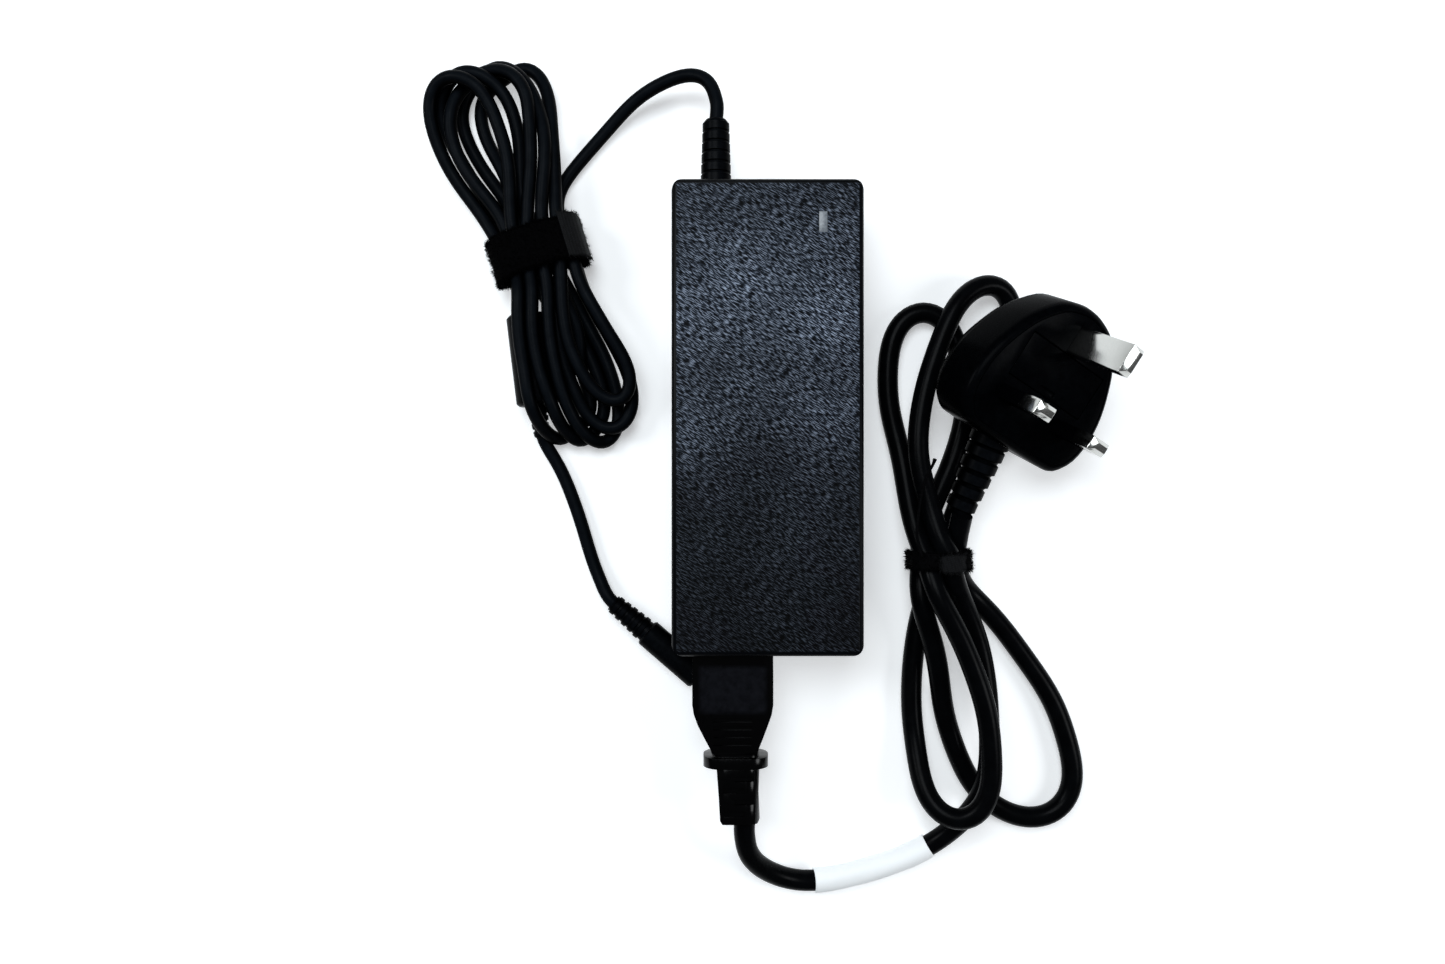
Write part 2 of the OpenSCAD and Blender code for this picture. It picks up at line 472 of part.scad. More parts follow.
module plug_strain_relief() color([0.04, 0.04, 0.045]) plug_frame() translate([0, -12.15, -10]) rotate([90, 0, 0]) rotate([0, 11, 0])
    intersection() {
        translate([0, 0, -1.3]) rotate_extrude() polygon(concat([[0, 0], [6, 0], [5.9, 3]],
            [for (i = [0:4], k = [0:3]) let (z = 3.6 + i * 4.1, r = 5.6 - i * 0.3) [k == 0 || k == 3 ? r - 0.7 : r, z + [0, 0.5, 3.1, 3.5][k]]],
            [[3.3, 24.6], [0, 24.6]]));
        rotate([0, -11, 0]) translate([-20, -20, 0.2]) cube([40, 40, 60]);
    }

// fuse drawer: slides out along the pins
module fuse_carrier() color([0.05, 0.05, 0.055]) plug_frame() translate([-carrier_w / 2, carrier_u0, 0]) difference() {
    union() {
        translate([0, 0, -4.2]) cube([carrier_w, carrier_u1 - carrier_u0, 4.1]);
        translate([1.2, 0, -6.6]) cube([2.2, carrier_u1 - carrier_u0, 3]);
        translate([carrier_w - 3.4, 0, -6.6]) cube([2.2, carrier_u1 - carrier_u0, 3]);
    }
    translate([0.9, (carrier_u1 - carrier_u0) / 2, -8.1]) rotate([0, 90, 0]) cylinder(r = 3.24, h = carrier_w - 1.8);
    translate([0.9, (carrier_u1 - carrier_u0) / 2 - 3.24, -12]) cube([carrier_w - 1.8, 6.48, 3.9]);
    // finger slot
    translate([carrier_w / 2 - 3, 1, -0.9]) cube([6, 1.2, 2]);
}
module cartridge_fuse() color([0.9, 0.88, 0.8]) plug_frame() translate([-12.6, 11.4, -8.1]) rotate([0, 90, 0]) { cylinder(r = 3.18, h = 25.2); }

top_shell();
bottom_shell();
led_light_pipe();
status_led();
circuit_board();
insulation_sheet();
heat_spreader();
inlet_housing();
inlet_pins();
input_fuse();
filter_choke_core();
filter_choke_winding();
x_capacitor();
bridge_rectifier();
bulk_capacitor();
transformer_core();
transformer_winding();
switch_transistor();
switch_heatsink();
output_rectifier();
output_heatsink();
output_capacitors();
y_capacitor();
optocoupler();
controller_chip();
output_wires();
dc_strain_relief();
dc_cord_lead();
dc_cord_hank();
cable_strap();
ferrite_cover();
ferrite_core();
dc_cord_tail();
dc_plug_boot();
dc_plug_body();
dc_plug_barrel();
barrel_insulator();
centre_pin();
appliance_connector();
connector_nose();
connector_contacts();
connector_strain_relief();
mains_cord();
cord_wrap();
twist_tie();
plug_body();
plug_base();
plug_strain_relief();
earth_pin();
live_pin();
neutral_pin();
pin_sleeves();
fuse_clips();
fuse_carrier();
cartridge_fuse();
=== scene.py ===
import math
import bpy
import bmesh
import numpy as np
from mathutils import Matrix, Vector
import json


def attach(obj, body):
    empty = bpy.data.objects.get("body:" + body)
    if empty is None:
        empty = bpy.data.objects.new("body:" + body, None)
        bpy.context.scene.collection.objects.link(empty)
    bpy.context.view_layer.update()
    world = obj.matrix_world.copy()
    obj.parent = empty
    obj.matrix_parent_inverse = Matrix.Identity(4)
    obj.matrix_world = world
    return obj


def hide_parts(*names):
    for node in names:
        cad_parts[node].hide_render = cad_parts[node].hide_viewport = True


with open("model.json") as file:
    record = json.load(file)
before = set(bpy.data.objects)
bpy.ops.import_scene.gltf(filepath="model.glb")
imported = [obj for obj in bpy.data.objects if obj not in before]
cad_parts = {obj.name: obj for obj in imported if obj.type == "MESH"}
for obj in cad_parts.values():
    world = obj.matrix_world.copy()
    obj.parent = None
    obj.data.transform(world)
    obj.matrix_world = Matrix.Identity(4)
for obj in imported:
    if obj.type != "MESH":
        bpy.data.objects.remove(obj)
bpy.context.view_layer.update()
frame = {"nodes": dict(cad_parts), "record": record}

NODES = frame["nodes"]
MM = 0.001


# ------------------------------------------------------------------ stage
scene = bpy.context.scene
cam_data = bpy.data.cameras.new("camera")
cam_data.lens = 27
cam_data.sensor_width = 36
cam_data.clip_start = 0.005
cam = bpy.data.objects.new("camera", cam_data)
cam.location = (-0.0125, -0.0178, 0.3286)
cam.rotation_euler = (0, 0, 0)
scene.collection.objects.link(cam)
scene.camera = cam


def area(name, loc, at, size, power, colour=(1, 1, 1)):
    d = bpy.data.lights.new(name, "AREA")
    d.shape = "DISK"
    d.size = size
    d.energy = power
    d.color = colour
    o = bpy.data.objects.new(name, d)
    o.location = loc
    o.rotation_euler = (Vector(at) - Vector(loc)).to_track_quat("-Z", "Y").to_euler()
    scene.collection.objects.link(o)
    return o


area("light_top", (-0.12, 0.30, 0.80), (-0.01, 0.0, 0), 0.50, 4.6, (0.90, 0.96, 1.0))
area("light_left", (-0.62, 0.22, 0.55), (0, 0, 0), 0.30, 2.6, (0.93, 0.97, 1.0))
area("light_right", (0.6, -0.1, 0.5), (0, 0, 0), 0.30, 2.2, (0.96, 0.98, 1.0))

world = bpy.data.worlds.new("studio")
world.use_nodes = True
world.node_tree.nodes["Background"].inputs[0].default_value = (0.95, 0.97, 1.0, 1)
world.node_tree.nodes["Background"].inputs[1].default_value = 0.10
scene.world = world
scene.view_settings.view_transform = "Standard"


# -------------------------------------------------------------- materials
def new_mat(name):
    m = bpy.data.materials.new(name)
    m.use_nodes = True
    nt = m.node_tree
    b = nt.nodes["Principled BSDF"]
    return m, nt, b


def coords(nt, scale=(1, 1, 1), rot=(0, 0, 0)):
    t = nt.nodes.new("ShaderNodeTexCoord")
    mp = nt.nodes.new("ShaderNodeMapping")
    mp.inputs["Scale"].default_value = scale
    mp.inputs["Rotation"].default_value = rot
    nt.links.new(t.outputs["Object"], mp.inputs["Vector"])
    return mp.outputs["Vector"]


def noise_tex(nt, vec, scale, detail=4.0, rough=0.55, distortion=0.0):
    n = nt.nodes.new("ShaderNodeTexNoise")
    n.inputs["Scale"].default_value = scale
    n.inputs["Detail"].default_value = detail
    n.inputs["Roughness"].default_value = rough
    n.inputs["Distortion"].default_value = distortion
    nt.links.new(vec, n.inputs["Vector"])
    return n.outputs["Fac"]


def ramp(nt, fac, stops):
    r = nt.nodes.new("ShaderNodeValToRGB")
    while len(r.color_ramp.elements) < len(stops):
        r.color_ramp.elements.new(0.5)
    for e, (p, c) in zip(r.color_ramp.elements, stops):
        e.position = p
        e.color = (*c, 1) if len(c) == 3 else c
    nt.links.new(fac, r.inputs["Fac"])
    return r.outputs["Color"]


def remap(nt, fac, a, b, c, d):
    r = nt.nodes.new("ShaderNodeMapRange")
    for k, v in zip(("From Min", "From Max", "To Min", "To Max"), (a, b, c, d)):
        r.inputs[k].default_value = v
    nt.links.new(fac, r.inputs["Value"])
    return r.outputs["Result"]


def math_node(nt, op, a, b=None):
    m = nt.nodes.new("ShaderNodeMath")
    m.operation = op
    for i, v in enumerate((a, b)):
        if v is None:
            continue
        if isinstance(v, (int, float)):
            m.inputs[i].default_value = v
        else:
            nt.links.new(v, m.inputs[i])
    return m.outputs[0]


def bump(nt, height, strength, distance, normal=None):
    n = nt.nodes.new("ShaderNodeBump")
    n.inputs["Strength"].default_value = strength
    n.inputs["Distance"].default_value = distance
    nt.links.new(height, n.inputs["Height"])
    if normal is not None:
        nt.links.new(normal, n.inputs["Normal"])
    return n.outputs["Normal"]


def plain(name, dark, light, scale=300, rough=(0.4, 0.55), spec=0.3, metal=0.0, grain=(2200, 0.25, 0.00004), coat=0.0, detail=4.0):
    """A moulded or drawn surface: mottled colour and roughness with a fine grain."""
    m, nt, b = new_mat(name)
    v = coords(nt)
    n1 = noise_tex(nt, v, scale, detail)
    nt.links.new(ramp(nt, n1, [(0.3, dark), (0.7, light)]), b.inputs["Base Color"])
    n2 = noise_tex(nt, v, scale * 2.3, 3.0)
    nt.links.new(remap(nt, n2, 0.3, 0.7, rough[0], rough[1]), b.inputs["Roughness"])
    b.inputs["Specular IOR Level"].default_value = spec
    b.inputs["Metallic"].default_value = metal
    if coat:
        b.inputs["Coat Weight"].default_value = coat
        b.inputs["Coat Roughness"].default_value = 0.3
    if grain:
        g = noise_tex(nt, v, grain[0], 3.0)
        nt.links.new(bump(nt, g, grain[1], grain[2]), b.inputs["Normal"])
    return m


# the patch of the connector's upper face that is painted lit; outside it the moulding is painted in shade
LIT_PANEL = (-0.0096, -0.0765, 0.0094, 0.0066)   # middle x, y and half sizes, in the object's frame


def painted_top_light(m, low, start=0.2, end=0.95):
    """Paints shade on a dark moulding's faces that don't look up, keeping the upward faces at their full, lit colour.
    """
    nt = m.node_tree
    b = next(n for n in nt.nodes if n.type == "BSDF_PRINCIPLED")
    src = b.inputs["Base Color"].links[0].from_socket
    geo = nt.nodes.new("ShaderNodeNewGeometry")
    sep = nt.nodes.new("ShaderNodeSeparateXYZ")
    nt.links.new(geo.outputs["Normal"], sep.inputs[0])
    mul = nt.nodes.new("ShaderNodeMix")
    mul.data_type = "RGBA"
    mul.blend_type = "MULTIPLY"
    mul.inputs[0].default_value = 1.0
    nt.links.new(src, mul.inputs[6])
    # painted shade: the colour is scaled down as the normal turns away from up
    nt.links.new(remap(nt, sep.outputs["Z"], start, end, low, 1.0), mul.inputs[7])
    nt.links.new(mul.outputs[2], b.inputs["Base Color"])
    return m


def painted_lit_panel(m):
    """Paints a patch of light on the connector's upper face; the rest of the moulding is painted darker, in shade."""
    nt = m.node_tree
    b = next(n for n in nt.nodes if n.type == "BSDF_PRINCIPLED")
    src = b.inputs["Base Color"].links[0].from_socket
    t = nt.nodes.new("ShaderNodeTexCoord")
    sep = nt.nodes.new("ShaderNodeSeparateXYZ")
    nt.links.new(t.outputs["Object"], sep.inputs[0])
    ax = math_node(nt, "ABSOLUTE", math_node(nt, "SUBTRACT", sep.outputs["X"], LIT_PANEL[0]))
    ay = math_node(nt, "ABSOLUTE", math_node(nt, "SUBTRACT", sep.outputs["Y"], LIT_PANEL[1]))
    lit_patch = math_node(nt, "MULTIPLY", remap(nt, ax, LIT_PANEL[2] - 0.0008, LIT_PANEL[2] + 0.0006, 1.0, 0.0), remap(nt, ay, LIT_PANEL[3] - 0.0008, LIT_PANEL[3] + 0.0006, 1.0, 0.0))
    mul = nt.nodes.new("ShaderNodeMix")
    mul.data_type = "RGBA"
    mul.blend_type = "MULTIPLY"
    mul.inputs[0].default_value = 1.0
    nt.links.new(src, mul.inputs[6])
    # painted shade outside the lit patch: the colour is cut to 0.12 there
    nt.links.new(remap(nt, lit_patch, 0.0, 1.0, 0.12, 1.0), mul.inputs[7])
    nt.links.new(mul.outputs[2], b.inputs["Base Color"])
    return m


def shell_material():
    """Spark-eroded top with fine slanting dashes, smooth on the rounded edges, with a painted sheen along its length
    and painted glints on the dashes' peaks.
    """
    m, nt, b = new_mat("shell_black")
    t = nt.nodes.new("ShaderNodeTexCoord")
    sep = nt.nodes.new("ShaderNodeSeparateXYZ")
    nt.links.new(t.outputs["Object"], sep.inputs[0])
    ax = math_node(nt, "ABSOLUTE", sep.outputs["X"])
    ay = math_node(nt, "ABSOLUTE", sep.outputs["Y"])
    az = math_node(nt, "ABSOLUTE", math_node(nt, "SUBTRACT", sep.outputs["Z"], 0.015))
    mx = remap(nt, ax, 0.02505, 0.02535, 1.0, 0.0)
    my = remap(nt, ay, 0.06445, 0.06475, 1.0, 0.0)
    mz = remap(nt, az, 0.0143, 0.0147, 0.0, 1.0)
    mask = math_node(nt, "MULTIPLY", math_node(nt, "MULTIPLY", mx, my), mz)

    def dashes(angle, stretch, scale, detail):
        mp = nt.nodes.new("ShaderNodeMapping")
        mp.vector_type = "TEXTURE"
        mp.inputs["Rotation"].default_value = (0, 0, math.radians(angle))
        mp.inputs["Scale"].default_value = (stretch, 1, 1)
        nt.links.new(t.outputs["Object"], mp.inputs["Vector"])
        return noise_tex(nt, mp.outputs["Vector"], scale, detail, 0.5, 0.0)

    fine = dashes(-33, 8.0, 4500, 0.0)
    fine2 = dashes(-37, 7.0, 6200, 0.0)
    broad = noise_tex(nt, t.outputs["Object"], 42, 3.0, 0.5)
    hgt = math_node(nt, "ADD", fine, math_node(nt, "MULTIPLY", fine2, 0.45))
    peaks = remap(nt, hgt, 0.64, 0.93, 0.0, 1.0)
    mix = nt.nodes.new("ShaderNodeMix")
    mix.data_type = "RGBA"
    # the dashes' peaks are painted light: partly the surface's own tone, partly painted glints
    dash_tone_and_glints = ramp(nt, peaks, [(0.0, (0.0012, 0.0018, 0.0030)), (0.45, (0.021, 0.028, 0.041)), (1.0, (0.215, 0.255, 0.33))])
    shade = nt.nodes.new("ShaderNodeMix")
    shade.data_type = "RGBA"
    shade.blend_type = "MULTIPLY"
    shade.inputs[0].default_value = 1.0
    nt.links.new(dash_tone_and_glints, shade.inputs[6])
    # painted sheen: the top is painted lightest a little past the middle of its length and darker towards both ends,
    # most at the -Y end; the broad noise adds random mottle
    along = remap(nt, sep.outputs["Y"], -0.066, 0.066, 0.0, 1.0)
    painted_sheen_fade = ramp(nt, along, [(0.04, (0.11, 0.11, 0.11)), (0.30, (0.22, 0.22, 0.22)), (0.66, (0.98, 0.98, 0.98)), (0.78, (0.92, 0.92, 0.92)), (0.97, (0.52, 0.52, 0.52))])
    mottle_and_painted_sheen = math_node(nt, "MULTIPLY", ramp(nt, broad, [(0.32, (0.6, 0.6, 0.6)), (0.68, (1.4, 1.4, 1.4))]), math_node(nt, "MULTIPLY", painted_sheen_fade, 1.0))
    nt.links.new(mottle_and_painted_sheen, shade.inputs[7])
    mix.inputs[6].default_value = (0.0012, 0.0015, 0.0022, 1)
    nt.links.new(shade.outputs[2], mix.inputs[7])
    nt.links.new(mask, mix.inputs[0])
    nt.links.new(mix.outputs[2], b.inputs["Base Color"])
    rr = remap(nt, fine, 0.35, 0.65, 0.6, 0.42)
    rmix = nt.nodes.new("ShaderNodeMix")
    rmix.data_type = "FLOAT"
    rmix.inputs[2].default_value = 0.32
    nt.links.new(mask, rmix.inputs[0])
    nt.links.new(rr, rmix.inputs[3])
    nt.links.new(rmix.outputs[0], b.inputs["Roughness"])
    b.inputs["Specular IOR Level"].default_value = 0.05
    h = math_node(nt, "MULTIPLY", hgt, mask)
    micro = noise_tex(nt, t.outputs["Object"], 4200, 2.0)
    n1 = bump(nt, micro, 0.12, 0.00003)
    nt.links.new(bump(nt, h, 0.7, 0.00016, n1), b.inputs["Normal"])
    return m


def metal_mat(name, base, rough, scratch=0.2):
    m, nt, b = new_mat(name)
    v = coords(nt, (1, 1, 6))
    n1 = noise_tex(nt, v, 900, 4.0)
    nt.links.new(ramp(nt, n1, [(0.3, tuple(c * 0.82 for c in base)), (0.7, base)]), b.inputs["Base Color"])
    nt.links.new(remap(nt, n1, 0.3, 0.7, rough * 0.75, rough * 1.3), b.inputs["Roughness"])
    b.inputs["Metallic"].default_value = 1.0
    nt.links.new(bump(nt, n1, scratch, 0.00002), b.inputs["Normal"])
    return m


M = {
    "shell_black": shell_material(),
    "light_pipe": plain("light_pipe", (0.11, 0.125, 0.145), (0.2, 0.22, 0.24), 900, (0.22, 0.34), 0.45),
    "led_white": plain("led_white", (0.75, 0.78, 0.7), (0.85, 0.88, 0.8), 900, (0.3, 0.4), 0.5),
    "board_green": plain("board_green", (0.012, 0.06, 0.022), (0.02, 0.09, 0.035), 500, (0.3, 0.45), 0.5),
    "insulation": plain("insulation", (0.5, 0.46, 0.3), (0.6, 0.56, 0.38), 200, (0.45, 0.6), 0.4),
    "aluminium": metal_mat("aluminium", (0.75, 0.76, 0.78), 0.35),
    "inlet_black": plain("inlet_black", (0.006, 0.006, 0.008), (0.012, 0.012, 0.014), 600, (0.4, 0.5), 0.3),
    "plated_pin": metal_mat("plated_pin", (0.6, 0.6, 0.575), 0.14, 0.06),
    "fuse_body": plain("fuse_body", (0.75, 0.72, 0.62), (0.85, 0.82, 0.74), 700, (0.3, 0.45), 0.5),
    "ferrite": plain("ferrite", (0.035, 0.037, 0.04), (0.06, 0.062, 0.065), 900, (0.5, 0.65), 0.4),
    "copper": metal_mat("copper", (0.72, 0.32, 0.16), 0.3),
    "capacitor_yellow": plain("capacitor_yellow", (0.62, 0.48, 0.04), (0.75, 0.6, 0.07), 400, (0.3, 0.4), 0.5),
    "capacitor_sleeve": plain("capacitor_sleeve", (0.012, 0.014, 0.03), (0.02, 0.024, 0.05), 500, (0.25, 0.35), 0.5),
    "capacitor_blue": plain("capacitor_blue", (0.02, 0.09, 0.32), (0.03, 0.13, 0.42), 500, (0.3, 0.4), 0.5),
    "chip_black": plain("chip_black", (0.012, 0.012, 0.013), (0.022, 0.022, 0.024), 800, (0.45, 0.6), 0.35),
    "tape_yellow": plain("tape_yellow", (0.7, 0.55, 0.06), (0.8, 0.66, 0.12), 300, (0.25, 0.4), 0.5),
    "wire_red": plain("wire_red", (0.35, 0.02, 0.015), (0.45, 0.03, 0.02), 500, (0.35, 0.45), 0.5),
    # soft_black, cord_black, mains_black and plug_black are painted darker, in shade, on faces that don't look up
    "soft_black": painted_top_light(plain("soft_black", (0.0012, 0.0016, 0.0022), (0.0028, 0.0035, 0.0046), 700, (0.28, 0.36), 0.018, grain=(2600, 0.2, 0.00004)), 0.06, 0.6, 1.0),
    "cord_black": painted_top_light(plain("cord_black", (0.0024, 0.0033, 0.0046), (0.0042, 0.0056, 0.0076), 260, (0.32, 0.4), 0.015, grain=(1700, 0.15, 0.00005)), 0.04, 0.5, 1.0),
    "mains_cord_black": plain("mains_cord_black", (0.0008, 0.0009, 0.0012), (0.0016, 0.0019, 0.0024), 200, (0.24, 0.32), 0.03, grain=(1400, 0.2, 0.00005)),
    # mains_black also carries a painted patch of light on the connector's top
    "mains_black": painted_lit_panel(painted_top_light(plain("mains_black", (0.0024, 0.0026, 0.0036), (0.0052, 0.0056, 0.0076), 600, (0.16, 0.22), 0.12, grain=(2400, 0.15, 0.00003)), 0.15, 0.5, 0.99)),
    "strap_black": plain("strap_black", (0.0003, 0.0003, 0.0004), (0.0009, 0.0009, 0.0011), 1500, (0.85, 0.95), 0.02, grain=(3000, 0.6, 0.0001)),
    "tie_black": plain("tie_black", (0.0005, 0.0005, 0.0007), (0.0018, 0.0018, 0.0022), 1500, (0.8, 0.92), 0.03, grain=(3000, 0.6, 0.0001)),
    "wrap_white": plain("wrap_white", (0.94, 0.97, 0.98), (0.97, 0.985, 0.99), 500, (0.45, 0.6), 0.3, grain=(1800, 0.15, 0.00003)),
    "plug_black": painted_top_light(plain("plug_black", (0.0004, 0.0005, 0.0008), (0.0011, 0.0014, 0.0019), 500, (0.22, 0.3), 0.008, grain=(2200, 0.12, 0.00004)), 0.3),
    "sleeve_black": plain("sleeve_black", (0.0003, 0.0003, 0.0005), (0.0006, 0.0007, 0.001), 900, (0.5, 0.6), 0.0),
    "brass": metal_mat("brass", (0.62, 0.5, 0.26), 0.26),
}

SLOT_OF = {s["node"]: s["material_slot"] for s in frame["record"]["subparts"]}
for _n, _o in NODES.items():
    _o.data.materials.clear()
    _o.data.materials.append(M["soft_black" if _n == "plug_strain_relief" else SLOT_OF[_n]])

floor_mat, _nt, _b = new_mat("floor")
_v = coords(_nt)
_f = noise_tex(_nt, _v, 9, 3.0)
_nt.links.new(ramp(_nt, _f, [(0.3, (0.80, 0.81, 0.82)), (0.7, (0.83, 0.84, 0.84))]), _b.inputs["Base Color"])
_b.inputs["Roughness"].default_value = 0.75
_b.inputs["Specular IOR Level"].default_value = 0.2
_b.inputs["Emission Color"].default_value = (0.97, 0.985, 1.0, 1)
_b.inputs["Emission Strength"].default_value = 0.42
_bm = bmesh.new()
bmesh.ops.create_grid(_bm, x_segments=4, y_segments=4, size=2.5)
_me = bpy.data.meshes.new("floor")
_bm.to_mesh(_me)
_bm.free()
floor = bpy.data.objects.new("floor", _me)
floor.location = (0, 0, -0.00005)
floor.data.materials.append(floor_mat)
scene.collection.objects.link(floor)


# ---------------------------------------------------- how a cord settles
def catmull(p, step, fixed=None):
    out, held, n = [], [], len(p)
    for i in range(n - 1):
        p0, p1, p2, p3 = p[max(i - 1, 0)], p[i], p[i + 1], p[min(i + 2, n - 1)]
        m = max(2, int(round(np.linalg.norm(p2 - p1) / step * 3)))
        for k in range(m):
            t = k / m
            out.append(0.5 * ((2 * p1) + (p2 - p0) * t + (2 * p0 - 5 * p1 + 4 * p2 - p3) * t * t + (3 * p1 - p0 - 3 * p2 + p3) * t ** 3))
            held.append(1.0 if fixed is not None and fixed[i] and fixed[i + 1] else 0.0)
    out.append(p[-1])
    held.append(1.0)
    out, held = np.array(out), np.array(held)
    s = np.r_[0, np.cumsum(np.linalg.norm(np.diff(out, axis=0), axis=1))]
    t = np.linspace(0, s[-1], int(round(s[-1] / step)) + 1)
    return np.stack([np.interp(t, s, out[:, k]) for k in range(3)], 1), np.interp(t, s, held) > 0.6


def fair(p, inv, rounds, cut=0.2):
    """Takes out the short waves and leaves the long ones, with no shrinking."""
    for _ in range(rounds):
        for f in (0.5, 1 / (cut - 2.0)):
            p[1:-1] += (f * inv[1:-1])[:, None] * (0.5 * (p[:-2] + p[2:]) - p[1:-1])
    return p


def settle(track, d, held, iters, anchor, grav, obstacle=None, gap=1.02):
    """Lets a cord that follows track take its own diameter, stiffness and weight."""
    n = len(track)
    inv = np.where(held, 0.0, 1.0)
    track = fair(track.copy(), inv, 12)
    p = track.copy()
    rest = np.linalg.norm(np.diff(p, axis=0), axis=1).mean()
    gi, gj = np.triu_indices(n, k=int(np.ceil(2.2 * d / rest)))
    need, r = d * gap, d / 2
    for it in range(iters):
        if it % 8 == 0:
            q = ((p[gj] - p[gi]) ** 2).sum(1)
            near = q < (need + 2.0) ** 2
            ci, cj = gi[near], gj[near]
        ease = 1 - it / iters
        p[:, :2] += (anchor * (0.3 + 0.7 * ease) * inv)[:, None] * (track[:, :2] - p[:, :2])
        p[:, 2] += inv * (0.02 * (track[:, 2] - p[:, 2]) - grav * ease)
        fair(p, inv, 1)
        for _ in range(4):
            dd = p[cj] - p[ci]
            q = (dd ** 2).sum(1)
            k = np.where(q < need * need)[0]
            if len(k):
                i, j = ci[k], cj[k]
                ln = np.sqrt(q[k]) + 1e-9
                mv = dd[k] / ln[:, None] * (0.5 * (need - ln) * 0.8)[:, None]
                w = inv[i] + inv[j]
                w[w == 0] = 1
                a, c = np.zeros_like(p), np.zeros(n)
                np.add.at(a, i, -mv * (2 * inv[i] / w)[:, None])
                np.add.at(a, j, mv * (2 * inv[j] / w)[:, None])
                np.add.at(c, i, 1)
                np.add.at(c, j, 1)
                c[c < 1] = 1
                p += a / np.sqrt(c)[:, None]
        if obstacle is not None:
            p = obstacle(p, inv)
        p[:, 2] = np.maximum(p[:, 2], r + 0.05)
    return p


def smooth_line(p, step):
    return catmull(p, step)[0]


def cord_curve(name, p_mm, d_mm, mat, sides=8):
    c = bpy.data.curves.new(name, "CURVE")
    c.dimensions = "3D"
    c.bevel_depth = d_mm / 2 * MM
    c.bevel_resolution = sides
    c.use_fill_caps = True
    s = c.splines.new("POLY")
    s.points.add(len(p_mm) - 1)
    co = np.c_[p_mm * MM, np.ones(len(p_mm))]
    s.points.foreach_set("co", co.ravel())
    s.use_smooth = True
    o = bpy.data.objects.new(name, c)
    o.data.materials.append(mat)
    scene.collection.objects.link(o)
    return o


# ------------------------------------------------- low-voltage cord, mm
# the strap's frame: turned by 17 degrees about the hank's waist
SC, SS = math.cos(math.radians(17)), math.sin(math.radians(17))


def strap_at(x, y, z):
    return np.array([-68.6 + x * SC - y * SS, 50.4 + x * SS + y * SC, z])


CAM_X, CAM_Y, CAM_H, FOCAL = -12.5, -17.8, 328.6, 1083.75


def seen(px, py, z):
    """The point at height z that the camera sees at a pixel of its 1445 by 964 frame."""
    return np.array([(px - 722.5) * (CAM_H - z) / FOCAL + CAM_X, -(py - 482) * (CAM_H - z) / FOCAL + CAM_Y, z])


# where each strand enters the strap's upper edge and leaves its lower edge (along the strap, height)
TOP = {"lead": (10.2, 3.8), "A1L": (-9.3, 6.2), "A1R": (-3.7, 12.8), "A2L": (-6.0, 4.0), "A2R": (3.4, 8.2), "A3L": (-5.5, 9.0),
       "A3R": (0.7, 12.5), "A4L": (-1.9, 3.8), "A4R": (5.5, 12.5), "A5L": (-1.3, 8.3), "A5R": (9.5, 11.6)}
LOW = {"lead": (11.2, 4.4), "A1L": (-8.2, 3.8), "A1R": (-2.2, 12.5), "A2L": (-3.9, 8.2), "A2R": (6.4, 8.1), "A3L": (-6.2, 12.3),
       "A3R": (2.3, 12.5), "A4L": (0.7, 3.8), "A4R": (7.2, 12.5), "A5L": (5.4, 3.9), "A5R": (11.3, 11.6)}


def strap_slot(name):
    """Down through the strap, from its upper edge to its lower edge."""
    (x0, z0), (x1, z1) = TOP[name], LOW[name]
    return [strap_at(x0, 6.5, z0), strap_at(x0 + 0.15 * (x1 - x0), 4, z0), strap_at((x0 + x1) / 2, 0, (z0 + z1) / 2),
            strap_at(x0 + 0.85 * (x1 - x0), -4, z1), strap_at(x1, -6.5, z1)]


